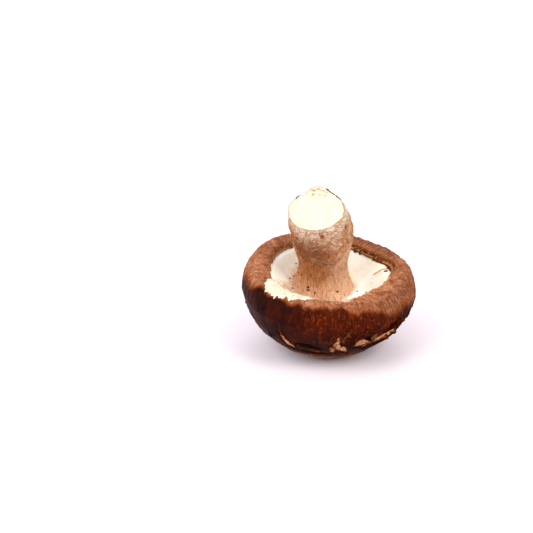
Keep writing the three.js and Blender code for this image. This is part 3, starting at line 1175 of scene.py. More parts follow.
    def lip_tints(self, angle: Array, along: Array, lip: Array, rim_at: float) -> dict[str, Array]:
        """Marks of the lip: its underside at the back, darkened to brown as painted shade, and tan shreds that
        are thickest at one corner.

        Args:
            angle: the columns' angles.
            along: the rows' distances along the section.
            lip: the lip's share at every point.
            rim_at: distance along the section of the margin's highest ring.

        Returns:
            The marks by name.
        """
        back_side = ramp(np.sin(angle + math.radians(25)), 0.1, 0.8)
        # Painted shade on the lip's underside at the back, where it turns in.
        under = lip * back_side * ramp(along, rim_at + 2.2, rim_at + 4.0)
        tan_lip = lip * (0.15 + 0.85 * facing(angle, 36, 0.55, 0.93))
        return {"lip": tan_lip * (1 - under), "under": under}

    def side_tints(self, angle: Array, past_rim: Array, height: Array, margin: Array,
                   side: Array) -> dict[str, Array]:
        """Marks of the skin's colours: orange where it thins in front, stronger on the lit side as painted
        light, and a dusky and a warm margin.

        Args:
            angle: the columns' angles.
            past_rim: the rows' distances along the section from the margin's highest ring.
            height: the rows' heights.
            margin: the margin's share at every point.
            side: the glossy side's share at every point.

        Returns:
            The marks by name.
        """
        # Painted light: the side facing the front right gets more of the thinning skin's red and orange.
        lit = facing(angle, -70, 0.55, 0.97)
        thin_and_lit = side * (0.04 + 0.96 * lit) * ramp(height, 13 - 3 * lit, 24)
        dusk_front = facing(angle, -32, 0.70, 0.96) * (1 - ramp(past_rim, -3.0, 2.0))
        dusk = margin * np.maximum(dusk_front, 0.85 * facing(angle, 48, 0.80, 0.97))
        warm = margin * facing(angle, -94, 0.70, 0.96) * (1 - ramp(past_rim, -5.0, 1.0))
        return {"thin_and_lit": thin_and_lit, "dusk": dusk, "warm": warm}

    def floor(self, angle: Array) -> Array:
        """Points of the hidden seat behind the gills, in rows spaced evenly over its section."""
        seat = self.form.seat()
        rows = np.linspace(0, 1, self.seat_rows + 1)[1:] * (len(seat) - 1)
        seat = np.stack([np.interp(rows, np.arange(len(seat)), seat[:, k]) for k in range(2)], axis=1)
        return self.form.bent(seat[:, :1], angle, seat[:, 1:])

    def opening(self, angle: Array) -> Array:
        """How far the lip stands out from its circle: out at one corner, folded in on both sides of it."""
        return sum(reach * bell(angle, degrees, width) for reach, degrees, width in self.lip_bells)


@dataclass
class Gills:
    """The ring of gills: long blades from the stem to the margin, with a short one between each pair."""

    form: CapForm
    lie: Lie
    blades: int = 168
    samples: int = 8
    rows: int = 60
    blade_depth: float = 0.40
    crease_angle: float = 17.6
    crease_width: float = 0.62
    crease_depth: float = 0.8
    hole_angle: float = 12.0
    hole_radius: float = 20.7
    hole_size: float = 0.9
    hole_depth: float = 0.8
    fold_angle: float = -14.0
    fold_height: float = 0.9
    pleat_height: float = 0.2
    outer_radius: float = 23.2
    finished: Array = field(init=False)
    lint_share: Array = field(init=False)

    def top(self, angle: Array, radius: Array) -> tuple[Array, Array]:
        """Height of the gills and how deep each point lies between blades.

        A long blade's edge is at each whole number of the blade count times the angle over a turn; a
        short blade stands half way between and starts further out. The height between them falls as a
        power of the distance to the nearest edge.

        Args:
            angle: angle about the axis, in radians.
            radius: distance from the axis.

        Returns:
            Height in millimetres, and depth from 0 at an edge to 1 between blades.
        """
        fine_sway = 0.35 * noise(polar(radius / 3.0, angle, 0.0 * radius), 21)
        sway = fine_sway + 0.9 * noise(polar(radius / 9.0, angle, 0), 22)
        count = angle / TURN * self.blades + sway * 0.5
        number = np.floor(count + 0.5)
        offset = np.abs(count - number)
        low = np.stack([number, np.zeros_like(number), np.zeros_like(number)], axis=-1)
        tall = 0.75 + 0.25 * hashed(low, 23)
        starts = 11.5 + 5.5 * hashed(low, 24)
        short = ramp(radius, starts, starts + 1.5)
        long_edge = (1 - 2 * offset) ** 1.3 * tall
        short_edge = np.clip(1 - 2 * np.abs(offset - 0.5) * 2, 0, 1) ** 1.3 * short * 0.85
        ridge = np.maximum(long_edge, short_edge)
        duck = 1.8 * ramp(radius, self.form.gill_outer_radius - 2.0, self.outer_radius)
        notches = 0.10 * layered(polar(radius / 0.6, angle * 3, radius * 0), 1.0, 25, 2)
        depth = self.blade_depth * (1 - 0.8 * ramp(radius, 18.0, 20.5))
        height = self.form.gill_height(radius) - duck + depth * (ridge - 1) + notches
        return height, 1 - ridge

    def spoiled(self, angle: Array, radius: Array) -> tuple[Array, Array, Array, Array]:
        """The crease, the hole at its outer end and the turned-up fold in front of them.

        Each is a bell of the distance to a line or point, where the line's angle changes with radius.

        Args:
            angle: angle about the axis, in radians.
            radius: distance from the axis.

        Returns:
            Height in millimetres, then how much stain, painted shadow in the pit at the crease's end, and rosy
            fold there is.
        """
        reach = ramp(radius, 15.5, 17.5)
        lines = (math.radians(self.crease_angle) - (radius - 20) * 0.008, math.radians(self.hole_angle + 0.8))
        off_line, off_second = (wrapped(angle - line) * radius for line in lines)
        crease = bump(off_line, 0, self.crease_width) * reach
        second = 0.75 * bump(off_second, 0, 0.30) * ramp(radius, 13.5, 16.5)
        aside = wrapped(angle - math.radians(self.hole_angle)) * radius
        shaded_hole = bump(aside, 0, self.hole_size) * bump(radius, self.hole_radius, self.hole_size)
        fold = bell(angle, self.fold_angle, 0.42) * ramp(radius, 11, 15)
        pleats = fold * np.cos(wrapped(angle) * 60) * ramp(radius, 13, 16)
        rise = (self.fold_height * fold * ramp(-off_second, -0.2, 1.2) - self.crease_depth * crease
                - 0.4 * second - self.hole_depth * shaded_hole - self.pleat_height * pleats)
        return rise, np.maximum(crease, second), shaded_hole, fold

    def surface(self, angle: Array, radius: Array) -> Array:
        """Upright points on the gills, blades and folds included."""
        height, _ = self.top(angle, radius)
        return self.form.bent(radius, angle, height + self.spoiled(angle, radius)[0])

    def build(self) -> Thing:
        """Makes the gills as one closed ring: blades above, plain flesh below.

        Returns:
            The gills' object.
        """
        columns = self.blades * self.samples
        angle = all_round(columns)
        radius = np.linspace(self.outer_radius, self.form.gill_inner_radius, self.rows)[:, None]
        full = np.broadcast_arrays(angle, radius)
        angle, radius = full[0], full[1]
        height, depth = self.top(angle, radius)
        rise, stain, shaded_hole, fold = self.spoiled(angle, radius)
        upper = self.form.bent(radius, angle, height + rise)
        under_radius = np.linspace(self.form.gill_inner_radius, self.form.gill_outer_radius, 5)[:, None]
        under = self.form.bent(under_radius, angle[:1],
                               self.form.gill_height(under_radius) - self.form.gill_depth + 0.1)
        stem_reach = np.hypot(upper[..., 0] + 2.0, upper[..., 1] - 2.0)
        streaked = 0.9 * layered(polar(radius / 2.0, angle * 3, 0 * radius), 1.0, 26, 2)
        front = facing(angle, -124, 0.42, 0.95)
        plain = ramp(stem_reach + streaked, 10.6 + 1.5 * front, 13.6 + 7.0 * front)
        foot = (1 - plain) * (0.80 + 0.20 * front)
        rosy = fold * (0.5 + 0.5 * (1 - depth))

        def padded(values: Array) -> Array:
            """Gives the hidden underside no mark."""
            return np.concatenate([values, np.zeros((len(under_radius), columns))])

        self.finished = upper
        self.lint_share = foot * ramp(radius, 10.0, 13.0) * (1 - ramp(radius, 19.5, 21.0)) * front
        # The valley and hole marks carry painted shade into the tissue's colour.
        marks = {"valley_shade": depth, "stain": stain, "shaded_hole": shaded_hole, "foot": foot, "rosy": rosy}
        grid = self.lie.place(np.concatenate([upper, under]))
        return closed_grid("gill_blades", grid, {mark: padded(v) for mark, v in marks.items()}, joined=True)


@dataclass
class Stem:
    """The stem: fibrous foot and neck, scurfy head, and the knife's cut with its torn lip."""

    form: CapForm
    lie: Lie
    stations: tuple[tuple[float, float, float, float], ...] = (
        (15.0, -2.0, 2.0, 10.9), (17.5, -2.0, 2.0, 11.2), (20.5, -2.0, 2.0, 11.0), (24.0, -2.0, 2.0, 9.6),
        (28.0, -2.1, 2.1, 8.6), (32.5, -2.4, 2.1, 8.6), (37.0, -2.8, 2.2, 9.7), (41.5, -3.1, 2.2, 10.6),
        (46.0, -3.7, 2.2, 10.8), (50.5, -4.9, 2.2, 10.0), (55.5, -6.6, 2.2, 8.6), (60.0, -8.0, 2.2, 7.4))
    foot_height: float = 17.6
    cut_centre: tuple[float, float, float] = (-5.6, 2.0, 51.6)
    cut_lean: float = 17.0
    cut_roll: float = -9.0
    collar_height: float = 34.4
    collar_climb: float = 9.0
    lip_angle: float = 76.0
    lip_height: float = 1.15
    notch_angle: float = 117.0
    notch_depth: float = 1.0
    cut_radius: float = 9.5
    spots: tuple[tuple[float, float, float], ...] = (
        (-89, 46.2, 0.85), (-33.5, 47.8, 0.75), (-62, 38.6, 0.45), (-140, 43.5, 0.5),
        (-22, 44.0, 0.6), (60, 44, 0.7), (150, 41, 0.7), (105, 47, 0.5))
    columns: int = 340
    side_rows: int = 190
    cut_rows: int = 70
    finished: Array = field(init=False)
    fibre_share: Array = field(init=False)

    def round_at(self, height: Array, angle: Array) -> tuple[Array, Array]:
        """The stem's axis and radius at a height.

        Both follow one smooth curve through the stations, and two waves round the stem swell the radius.

        Args:
            height: height above the crown.
            angle: angle about the stem's axis, in radians.

        Returns:
            The axis's x and y as one array, and the radius.
        """
        curve = through(np.array(self.stations), 400)
        across = np.stack([np.interp(height, curve[:, 0], curve[:, k]) for k in (1, 2)], axis=-1)
        swell = 1 + 0.02 * np.cos(2 * angle - 0.8) + 0.012 * np.cos(3 * angle + 2)
        return across, np.interp(height, curve[:, 0], curve[:, 3]) * swell

    def smooth(self, angle: Array, height: Array) -> Array:
        """Points on the stem's smooth side: the axis plus the radius towards the angle."""
        across, radius = self.round_at(height, angle)
        shift = np.concatenate([across, np.zeros_like(across[..., :1])], axis=-1)
        return polar(radius, angle, height) + shift

    def cut_normal(self) -> Array:
        """The cut's unit normal: straight up, turned about X by its lean and then about Y by its roll."""
        lean, roll = math.radians(self.cut_lean), math.radians(self.cut_roll)
        tipped = np.array([0.0, -math.sin(lean), math.cos(lean)])
        return np.array([tipped[2] * math.sin(roll), tipped[1], tipped[2] * math.cos(roll)])

    def cut_height(self, angle: Array) -> Array:
        """Height at which the side meets the knife's plane, by repeated correction from the cut's centre."""
        normal, centre = self.cut_normal(), np.array(self.cut_centre)
        height = np.full(angle.shape, centre[2])
        for _ in range(14):
            point = self.smooth(angle, height)
            height = centre[2] - ((point[..., :2] - centre[:2]) @ normal[:2]) / normal[2]
        return height

    def collar(self, angle: Array) -> Array:
        """Height where the head's rind ends: lowest in front, rising to both sides, and ragged."""
        off_front = np.abs(wrapped(angle + math.radians(90)))
        ragged = 1.7 * layered(ring_at(4.0, angle), 1.0, 31, 3)
        behind = 2.0 * np.cos(3 * angle + 0.5) * ramp(off_front, 1.3, 2.1)
        return self.collar_height + self.collar_climb * ramp(off_front, 0.30, 1.45) + behind + ragged

    def rim_rise(self, angle: Array) -> Array:
        """Height of the flat-topped torn lip less the notch beside it, by the angle."""
        off_lip = np.abs(wrapped(angle - math.radians(self.lip_angle)))
        ragged = 0.25 * layered(ring_at(9.0, angle), 1.0, 32, 3)
        lip = (self.lip_height + ragged) * (1 - ramp(off_lip, 0.24, 0.62))
        return lip - self.notch_depth * bell(angle, self.notch_angle, 0.15)

    def relief(self, angle: Array, height: Array) -> tuple[Array, dict[str, Array]]:
        """The rind's relief and its marks.

        Lumps all over; a step out above the collar; granules and cracked plates on the head; lengthwise
        fibres on the neck that fan out at the foot; a few rings under the collar; sunken spots.

        Args:
            angle: angle about the stem's axis.
            height: height above the crown.

        Returns:
            Height of the relief in millimetres, and the marks by name.
        """
        base = self.smooth(angle, height)
        grain = polar(np.full_like(height, 9.5), angle, height)
        above = height - self.collar(angle) + 1.6 * layered(base, 1.6, 49, 3)
        head = ramp(above, -2.2, 2.6)
        swayed = base * np.array([1, 1, 1.5]) + 0.5 * layered(base, 1.2, 33, 2)[..., None]
        near, far, tint = cellular(swayed / 1.9, 34)
        plate = ramp(far - near, 0.05, 0.28) * ramp(tint, 0.2, 0.6)
        fibres = layered(grain, (0.8, 0.8, 9.0), 35, 3)
        folds = layered(grain, (6.0, 6.0, 1.1), 36, 2)
        past_collar = height - self.collar(angle)
        rings = bump(past_collar, -1.8, 1.6) * np.cos(past_collar * 3.6)
        pits = ramp(layered(base, 0.9, 37, 2), 0.42, 0.62)
        # The side facing the key light, painted paler pink as painted light.
        key_lit_side = facing(angle, -8, 0.05, 0.9)
        foot = 1 - ramp(height + 1.4 * layered(grain, 3.0, 38, 2), 22.5, 29.0)
        left_bruise = facing(angle, -124, 0.45, 0.95) * bump(height, 39.4, 4.6)
        # Painted shadow just under the collar, where the head overhangs the neck.
        collar_shadow = bump(past_collar, -0.6, 1.0) * 0.55
        brown = np.clip(left_bruise + collar_shadow + 0.30 * bump(height, 31, 3), 0, 1)
        # Painted shade on the head's lower part, less on the lit side.
        low = head * (1 - ramp(past_collar, 1.5, 9.0)) * (1 - 0.6 * key_lit_side)
        spot = np.zeros_like(base[..., 0])
        for spot_angle, spot_height, size in self.spots:
            gap = np.hypot(wrapped(angle - math.radians(spot_angle)) * 10, height - spot_height)
            spot = np.maximum(spot, bump(gap, 0, size))
        granules = ramp(layered(base, 0.9, 50, 2), 0.20, 0.55)
        splayed = layered(grain, (1.4, 1.4, 14.0), 40, 2)
        push = (0.35 * layered(base, 6.0, 39, 2) + 0.38 * head * granules + 0.10 * head
                + 0.14 * head * plate - 0.34 * head * pits + (1 - head) * (0.34 * fibres + 0.12 * rings)
                + 0.12 * head * folds - 0.35 * spot + 0.34 * foot * splayed)
        ends = 0.8 * layered(grain, (1.0, 1.0, 9.0), 46, 2)
        # The pale mark is painted light; low is painted shade, and brown is stain with painted shadow under the
        # collar.
        marks = {"grain": grain, "head": head, "foot": foot, "brown": brown, "plate": plate, "spot": spot,
                 "pale": key_lit_side * (1 - head), "low": low, "base": 1 - ramp(height + ends, 20.5, 24.0)}
        return push, marks

    def surface(self, angle: Array, height: Array) -> Array:
        """Upright points on the finished side of the stem."""
        push, _ = self.relief(angle, height)
        return self.smooth(angle, height) + push[..., None] * outward(angle, height)

    def cut_relief(self, angle: Array, inner: Array, from_rim: Array,
                   plain: Array) -> tuple[Array, Array]:
        """Relief of the cut: the rim's rise dying away inwards, two ledges behind the torn lip, drag lines.

        Args:
            angle: the columns' angles.
            inner: each ring's share of the rim's size.
            from_rim: each ring's distance from the rim in millimetres.
            plain: points of the rings before any relief.

        Returns:
            Height in millimetres along the cut's normal, and how much each point lies in a torn crease, which
            the rind's colours darken as painted shade.
        """
        rise = self.rim_rise(angle)
        settled = rise * (bump(from_rim, 0, 1.6) - inner)
        wander = 0.35 * layered(ring_at(7.0, angle), 1.0, 41, 2)
        torn = ramp(rise, 0.3, 1.0)
        steps = [ramp(from_rim + wander * way, place - 0.12, place + 0.12)
                 for way, place in ((1, 0.9), (-1, 2.0))]
        ledges = -torn * (0.55 * steps[0] + 0.35 * steps[1] - 0.90 * ramp(from_rim, 2.2, 5.0))
        crease_shade = torn * sum(bump(from_rim + wander * way, place, 0.16)
                             for way, place in ((1, 0.95), (-1, 2.05)))
        drag = 0.05 * layered(plain, (9.0, 0.7, 0.7), 42, 2) + 0.10 * layered(plain, 4.0, 43, 2)
        return settled + ledges + drag * ramp(from_rim, 0.1, 1.2), crease_shade

    def build(self) -> Thing:
        """Makes the stem as one closed surface.

        Side rows run from the foot to the cut. The cut's rows are rings that shrink to its middle on the
        knife's plane, raised near the torn lip and marked by the knife's drag lines.

        Returns:
            The stem's object.
        """
        angle = all_round(self.columns)
        top = self.cut_height(angle) + self.rim_rise(angle)
        share = np.linspace(0, 1, self.side_rows)[:, None]
        height = self.foot_height + (top - self.foot_height) * share
        angle_grid = np.broadcast_to(angle, height.shape)
        push, marks = self.relief(angle_grid, height)
        side = self.smooth(angle_grid, height) + push[..., None] * outward(angle_grid, height)
        inner = 1 - np.linspace(0, 1, self.cut_rows + 1)[1:-1, None]
        middle = np.array(self.cut_centre)
        plain = middle + (side[-1:] - middle) * inner[..., None]
        from_rim = (1 - inner) * self.cut_radius
        lift, crease_shade = self.cut_relief(angle, inner, from_rim, plain)
        face = plain + lift[..., None] * self.cut_normal()
        rows = len(face)

        def padded(values: Array, cut_value: float | None) -> Array:
            """Carries a side mark over the cut: as one value, or where None as the rim's own."""
            last = np.broadcast_to(values[-1:], (rows, *values.shape[1:]))
            return np.concatenate([values, last if cut_value is None else np.full_like(last, cut_value)])

        white = np.broadcast_to(ramp(from_rim, 0.05, 0.45), (rows, self.columns))
        cut = np.concatenate([0.0 * height, white])
        below_rim = top - height
        bark_zone = facing(angle, 38, 0.90, 0.97)
        bark = bark_zone * (1 - ramp(below_rim + 0.6 * layered(side, 0.9, 44, 3), 0.5, 1.3))
        dark_zone = facing(angle, 133, 0.975, 0.995)
        marks["bark"] = np.maximum(bark, dark_zone * (1 - ramp(below_rim, 0.4, 1.3)))
        on_face = from_rim + 0.45 * layered(plain, 0.8, 47, 2)
        bark_face = np.maximum(bark_zone * (1 - ramp(on_face, 0.35, 0.75)),
                               dark_zone * (1 - ramp(on_face, 0.3, 0.7)))
        marks["near"] = 1 - ramp(below_rim + 0.8 * layered(side, 1.5, 45, 2), 0.8, 4.6)
        rim_line = 1 - np.concatenate([ramp(below_rim, 0.10, 0.45),
                                       ramp(from_rim * np.ones_like(angle), 0.02, 0.22)])
        rim_line = rim_line * ramp(layered(ring_at(5.0, angle), 1.0, 48, 2), -0.15, 0.30)
        grid = np.concatenate([side, face])
        carried = {name: padded(v, None if name == "grain" else 0.0) for name, v in marks.items()}
        carried["grain"] = grid * 1.0
        carried["grain"][: len(side)] = marks["grain"]
        carried["cut"] = cut
        # Painted shade: the torn crease lines behind the lip darkened with the bark and edge browns.
        carried["bark"] = np.concatenate([marks["bark"], np.maximum(bark_face, 0.5 * crease_shade)])
        carried["rim"] = np.maximum(rim_line, np.concatenate([0 * height, crease_shade]))
        self.finished = side
        self.fibre_share = (1 - marks["head"]) * ramp(height, 18.5, 21.0)
        return closed_grid("stem_rind", self.lie.place(grid), carried)


@dataclass
class VeilFringe:
    """Shreds of the veil on the margin's inner edge: a ragged white band in front, a thin tan one behind."""

    cap: Cap
    lie: Lie
    columns: int = 720
    rows: int = 20
    thickness: float = 0.28
    root: float = 0.5

    def reach(self, angle: Array) -> tuple[Array, Array]:
        """How far the shreds reach out over the margin, and how white they are.

        Small noise all round, a broad ragged band on the front left, and a narrower one to its right. The
        band's edge is a coarse noise for clumps plus the magnitude of a fine one for torn ends.

        Args:
            angle: angle about the axis, in radians.

        Returns:
            Reach in millimetres from the lip, and whiteness from 0 to 1.
        """
        circle = ring_at(21.0, angle)
        thin = 0.35 + 0.55 * np.clip(layered(circle, 0.9, 50, 2), -0.4, 1)
        front = self.cap.form.veil_share(angle)
        clumps = 1.5 * layered(circle, 2.4, 51, 2) + 1.5 * np.abs(layered(circle, 0.8, 52, 3))
        centre = facing(angle, -96, 0.80, 0.98)
        right = facing(angle, -35, 0.50, 0.95)
        reach = thin + np.maximum.reduce([
            front * (6.0 + clumps), centre * (1.9 + clumps), 0.35 * right * (1.6 + clumps)])
        pale = 0.5 + 0.5 * layered(circle, 1.4, 54, 2)
        return reach, np.clip(front * 1.3 + 0.62 * centre * pale + 0.55 * right * pale, 0, 1)

    def build(self) -> Thing:
        """Makes the fringe as one closed thin ring that follows the margin's inner edge.

        Its section runs out over the margin to the reach, and back below at the thickness, which thins
        to the edge.

        Returns:
            The fringe's object.
        """
        form = self.cap.form
        angle = all_round(self.columns)
        reach, fresh = self.reach(angle)
        share = np.linspace(0, 1, self.rows)[:, None]
        travel = -self.root + share * (reach + self.root)
        line = form.section()[::-1]
        length = lengths_along(line)
        radius = np.interp(np.maximum(travel, 0), length, line[:, 0]) + np.minimum(travel, 0)
        height = np.interp(np.maximum(travel, 0), length, line[:, 1]) - 0.4 * np.minimum(travel, 0) ** 2
        lip_share = 1 - ramp(travel, 0.0, 3.0)
        radius = radius + lip_share * self.cap.opening(angle)
        place = self.cap.skin(angle, radius, height)
        flutter = (0.25 * noise(place / 1.3, 53) + 0.30 * layered(place, 0.6, 55, 2)) * ramp(share, 0.0, 0.5)
        grow = ramp(travel, -0.3, 0.8)
        fade = np.sqrt(np.clip(1 - share**3, 0.02, 1))
        out = np.array([0, 0, 1.0]) - 0.35 * outward(angle, travel)
        upper = place + (0.26 + flutter + self.thickness * fade * grow)[..., None] * out
        lower = place + (0.10 + flutter - 0.15 * fade)[..., None] * out
        grid = np.concatenate([upper, lower[::-1]])
        thinned = 0.45 * ramp(layered(place, 0.9, 56, 2), 0.05, 0.45)
        fresh_grid = fresh * (1 - np.concatenate([thinned, thinned[::-1]]))
        return closed_grid("veil_fringe", self.lie.place(grid), {"fresh": fresh_grid}, joined=True)


class Ground(Enum):
    """What a crumb sits on."""

    STEM = "stem"
    GILLS = "gills"
    HEAD = "head"


@dataclass
class Crumbs:
    """Grains of growing medium stuck to the stem's foot, the gills and the head."""

    stem: Stem
    gills: Gills
    lie: Lie
    seed: int = 12
    rows: int = 6
    columns: int = 8
    counts: tuple[tuple[Ground, int], ...] = ((Ground.STEM, 9), (Ground.GILLS, 12), (Ground.HEAD, 12))
    laid: tuple[tuple[Ground, float, float, float], ...] = (
        (Ground.GILLS, 135, 16.0, 0.34), (Ground.GILLS, 156, 13.2, 0.44), (Ground.GILLS, -166, 16.2, 0.42),
        (Ground.GILLS, -167, 13.1, 0.58), (Ground.GILLS, -9, 10.4, 0.34), (Ground.GILLS, -3, 16.4, 0.28),
        (Ground.STEM, -146, 27.9, 0.42), (Ground.STEM, -124, 24.8, 0.50), (Ground.STEM, -122, 23.9, 0.46),
        (Ground.STEM, -59, 23.8, 0.42), (Ground.STEM, -45, 22.0, 0.36), (Ground.STEM, -32, 28.6, 0.32),
        (Ground.STEM, -8, 25.1, 0.36))

    def grain(self, centre: Array, size: float, seed: int) -> tuple[Array, Array]:
        """One lumpy grain: a ball of a few rows and columns whose radius is changed by noise.

        Args:
            centre: its middle, in upright millimetres.
            size: its radius.
            seed: chooses its lumps.

        Returns:
            Its points and its four-cornered faces.
        """
        polar_angle = np.linspace(0.12, math.pi - 0.12, self.rows)[:, None]
        angle = all_round(self.columns)
        ball = polar(np.sin(polar_angle), angle, np.cos(polar_angle))
        lumpy = size * (1 + 0.45 * noise(ball * 1.3 + seed * 7.3, 61))
        stretch = np.array([1.0, 0.8, 0.75])
        points = (centre + ball * lumpy[..., None] * stretch).reshape(-1, 3)
        return points, quads(self.rows, self.columns, False)

    def centres(self) -> list[tuple[Array, float]]:
        """Draws where each grain sits and how large it is, thickest at the foot's left.

        Returns:
            Middle points and radii.
        """
        draw = np.random.default_rng(self.seed)
        reach = {Ground.STEM: (22.5, 30), Ground.GILLS: (12.5, 18.5), Ground.HEAD: (42, 49)}
        sizes = {Ground.STEM: (0.18, 0.42), Ground.GILLS: (0.16, 0.36), Ground.HEAD: (0.14, 0.30)}
        sown = [(ground, draw.normal(-150, 28) if draw.random() < 0.55 else draw.uniform(-180, 180),
                 draw.uniform(*reach[ground]), draw.uniform(*sizes[ground]))
                for ground, count in self.counts for _ in range(count)]
        spots = []
        for ground, degrees, where, size in (*self.laid, *sown):
            piece = self.gills if ground is Ground.GILLS else self.stem
            point = piece.surface(np.array([math.radians(degrees)]), np.array([float(where)]))[0]
            spots.append((point, float(size)))
        return spots

    def build(self) -> Thing:
        """Makes all the grains as one piece of separate closed bodies.

        Returns:
            The crumbs' object.
        """
        points, faces, count = [], [], 0
        ring, pole = np.arange(self.columns), self.rows * self.columns
        top = ring + pole - self.columns
        first = np.stack([np.roll(ring, -1), ring, np.full_like(ring, pole)], axis=1)
        last = np.stack([top, np.roll(top, -1), np.full_like(ring, pole + 1)], axis=1)
        for number, (centre, size) in enumerate(self.centres()):
            ball, squares = self.grain(centre, size, number)
            poles = np.stack([ball[: self.columns].mean(axis=0), ball[-self.columns :].mean(axis=0)])
            points.append(np.concatenate([ball, poles]))
            faces += [squares + count, first + count, last + count]
            count += pole + 2
        whole = np.concatenate(points)
        blocks = [np.concatenate([f for f in faces if f.shape[1] == corners]) for corners in (4, 3)]
        return piece_from("medium_crumbs", self.lie.place(whole), blocks, {})


@dataclass
class Threads:
    """Short loose threads on a finished grid, each a bent, tapered rod with three sides."""

    name: str
    grid: Array
    share: Array
    away_from: tuple[float, float, float]
    count: int
    length: tuple[float, float]
    width: tuple[float, float]
    seed: int
    spread: float
    lift: float
    rings: int = 5

    def build(self, lie: Lie) -> Thing:
        """Makes all the threads as one piece of separate closed bodies.

        A thread is rooted at a vertex drawn by the share. At share t of its length its middle is the
        root + length * (t * way + bend * t^2 * side) + lift * sin(pi t / 1.6) * up, and its radius
        shrinks to a sixth. Way is the grid's own direction back along its rows, turned by a random angle.

        Args:
            lie: places the piece.

        Returns:
            The piece.
        """
        draw = np.random.default_rng(self.seed)
        weight = np.cumsum(self.share.ravel() / self.share.sum())
        chosen = np.searchsorted(weight, draw.random(self.count))
        row, column = np.unravel_index(np.minimum(chosen, self.share.size - 1), self.share.shape)
        root = self.grid[row, column]
        up = normals_of(self.grid)[row, column]
        up = up * np.sign(((root - np.array(self.away_from)) * up).sum(axis=-1).mean())
        forth = -np.gradient(self.grid, axis=0)[row, column]
        forth /= np.linalg.norm(forth, axis=-1, keepdims=True)
        aside = np.cross(up, forth)
        slant = draw.normal(0, self.spread, self.count)[:, None]
        way = forth * np.cos(slant) + aside * np.sin(slant)
        side = np.cross(up, way)
        length, width, bend, lift = (draw.uniform(*pair, self.count)[:, None, None] for pair in (
            self.length, self.width, (-0.5, 0.5), (0.3 * self.lift, self.lift)))
        t = np.linspace(0, 1, self.rings)[None, :, None]
        line = (root[:, None] + length * (t * way[:, None] + bend * t**2 * side[:, None])
                + (lift * np.sin(math.pi * t / 1.6)) * up[:, None])
        radius = width / 2 * (1 - 0.83 * t)
        corner = np.radians([90, 210, 330])[None, None, :, None]
        ring = line[:, :, None] + radius[:, :, None] * (
            np.cos(corner) * side[:, None, None] + np.sin(corner) * up[:, None, None])
        each = self.rings * 3
        first = np.arange(self.count)[:, None, None] * each
        walls = (quads(self.rings, 3, False)[None] + first).reshape(-1, 4)
        ends = (np.array([[1, 0, 2], [each - 3, each - 2, each - 1]])[None] + first).reshape(-1, 3)
        tint = np.repeat(draw.random(self.count), each)
        return piece_from(self.name, lie.place(ring.reshape(-1, 3)), [walls, ends], {"tint": tint})


# ---------------------------------------------------------------- studio


@dataclass(frozen=True)
class SoftLight:
    """A square soft box: where it hangs from the mushroom, its side and power, and its tint."""

    name: str
    place: tuple[float, float, float]
    side: float
    watts: float
    tint: str = "#ffffff"

    def hang(self, aim: Vector) -> None:
        """Hangs the light, turned to face the aim."""
        lamp = bpy.data.lights.new(self.name, "AREA")
        lamp.energy, lamp.size, lamp.color = self.watts, self.side, linear(self.tint)[:3]
        thing = bpy.data.objects.new(self.name, lamp)
        thing.location = aim + Vector(self.place)
        thing.rotation_euler = (aim - thing.location).to_track_quat("-Z", "Y").to_euler()
        bpy.context.scene.collection.objects.link(thing)


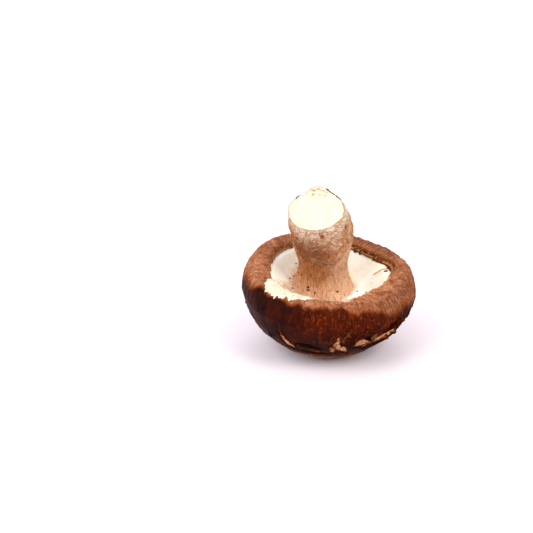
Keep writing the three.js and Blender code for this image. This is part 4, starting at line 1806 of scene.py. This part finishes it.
@dataclass(frozen=True)
class Studio:
    """White paper, soft boxes and a camera that looks down on the mushroom a little from in front."""

    elevation: float = 24.0
    distance: float = 0.600
    field_width: float = 0.1857
    sensor_mm: float = 36.0
    aim_left: float = 0.022
    paper_side: float = 6.0
    paper_path: tuple[tuple[float, float], ...] = (
        (-2.5, 0), (-0.5, 0), (0.6, 0), (1.6, 0), (2.3, 0.12), (2.8, 0.5), (3.0, 1.2), (3.0, 3.0))
    paper_drop: float = 0.00002
    sky: float = 0.94
    lights: tuple[SoftLight, ...] = (
        SoftLight("key_softbox", (0.42, -0.36, 0.48), 0.36, 2.8, "#fffaf5"),
        SoftLight("fill_softbox", (-0.50, -0.30, 0.50), 0.60, 4.0, "#fdfcff"),
        SoftLight("back_softbox", (0.10, 0.60, 0.55), 0.50, 1.8),
    )

    def aim(self) -> Vector:
        """The point that the camera looks at: beside the mushroom, at just over half its height."""
        low, high = CAD_BOX
        return Vector(((low[0] + high[0]) / 2 - self.aim_left, 0.0, 0.565 * high[2]))

    def paper(self) -> Thing:
        """Lays the paper as a grid that rises in a quarter round behind, x across and a path along y and z.

        Returns:
            The paper's object.
        """
        rows, columns = 60, 9
        across = np.linspace(-self.paper_side / 2, self.paper_side / 2, columns)
        line = through(np.array(self.paper_path), rows)
        line[:, 1] = np.maximum(line[:, 1], 0) - self.paper_drop
        grid = np.stack(np.broadcast_arrays(across[None, :], line[:, :1], line[:, 1:]), axis=-1)
        corner = np.arange(rows - 1)[:, None] * columns + np.arange(columns - 1)[None, :]
        faces = np.stack([corner, corner + 1, corner + columns + 1, corner + columns], axis=-1).reshape(-1, 4)
        mesh = bpy.data.meshes.new("studio_paper")
        mesh.from_pydata(grid.reshape(-1, 3).tolist(), [], faces.tolist())
        mesh.shade_smooth()
        thing = bpy.data.objects.new("studio_paper", mesh)
        bpy.context.scene.collection.objects.link(thing)
        mesh.materials.append(StudioPaper().make())
        return thing

    def set_up(self) -> None:
        """Sets the world, lights, paper and camera."""
        scene = bpy.context.scene
        scene.view_settings.view_transform = "Standard"
        world = bpy.data.worlds.new("white_room")
        world.use_nodes = True
        tree = world.node_tree
        path = add(tree, "LightPath")
        strength = add(tree, "MapRange", {"To Min": self.sky, "To Max": 1.0},
                       {"Value": path.outputs["Is Camera Ray"]})
        tree.links.new(strength.outputs["Result"], tree.nodes["Background"].inputs["Strength"])
        tree.nodes["Background"].inputs["Color"].default_value = linear("#ffffff")
        scene.world = world
        for light in self.lights:
            light.hang(Vector((0.0, 0.0, 0.03)))
        self.paper()
        data = bpy.data.cameras.new("camera")
        data.sensor_width = self.sensor_mm
        data.lens = self.sensor_mm * self.distance / self.field_width
        data.clip_start, data.clip_end = 0.01, 20.0
        camera = bpy.data.objects.new("camera", data)
        tilt = math.radians(self.elevation)
        aim = self.aim()
        camera.location = aim + Vector((0, -math.cos(tilt), math.sin(tilt))) * self.distance
        camera.rotation_euler = (aim - camera.location).to_track_quat("-Z", "Y").to_euler()
        scene.collection.objects.link(camera)
        scene.camera = camera


def settle(piece: Thing, material: Material, node: str | None) -> None:
    """Dresses a piece and ties it to the frame.

    Args:
        piece: the finished piece.
        material: its material.
        node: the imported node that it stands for, if any.
    """
    piece.data.materials.append(material)
    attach(piece, "root")
    if node:
        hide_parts(node)
    LOG.info("%s: %d vertices, %d faces", piece.name, len(piece.data.vertices), len(piece.data.polygons))


def main() -> None:
    """Builds the mushroom and its studio in order."""
    logging.basicConfig(level=logging.INFO, format="%(name)s %(message)s")
    form = CapForm()
    lie = Lie(form=form)
    Studio().set_up()
    cap, gills, stem = Cap(form, lie), Gills(form, lie), Stem(form, lie)
    settle(cap.build(), CapSkin().make(), "cap")
    settle(gills.build(), GillTissue().make(), "gills")
    settle(stem.build(), StemRind().make(), "stem")
    settle(VeilFringe(cap, lie).build(), VeilShred().make(), None)
    settle(Crumbs(stem, gills, lie).build(), GrowingMedium().make(), None)
    loose = (
        (Threads("margin_felt", cap.finished, cap.felt_share, (0, 0, 22), 2600, (0.7, 2.0),
                 (0.07, 0.14), 71, 0.8, 0.20),
         HyphalThread("cap_margin_felt", "#7a4428", "#a96a48", "#cf9c7c"), "cap_skin"),
        (Threads("stem_fibres", stem.finished, stem.fibre_share, (-2, 2, 30), 1700, (0.8, 2.6),
                 (0.06, 0.13), 72, 0.5, 0.16),
         HyphalThread("stem_fibre", "#8a4d20", "#cf945f", "#f5d2ab"), "stem_flesh"),
        (Threads("gill_lint", gills.finished, gills.lint_share, (0, 0, -60), 1500, (0.9, 2.8),
                 (0.08, 0.18), 73, 0.5, 0.30),
         HyphalThread("gill_hyphae", "#d6a275", "#f0d0aa", "#fff6e8"), "gill_tissue"),
    )
    for threads, finish, slot in loose:
        settle(threads.build(lie), finish.make(), None)
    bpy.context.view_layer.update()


if __name__ == "__main__":
    main()
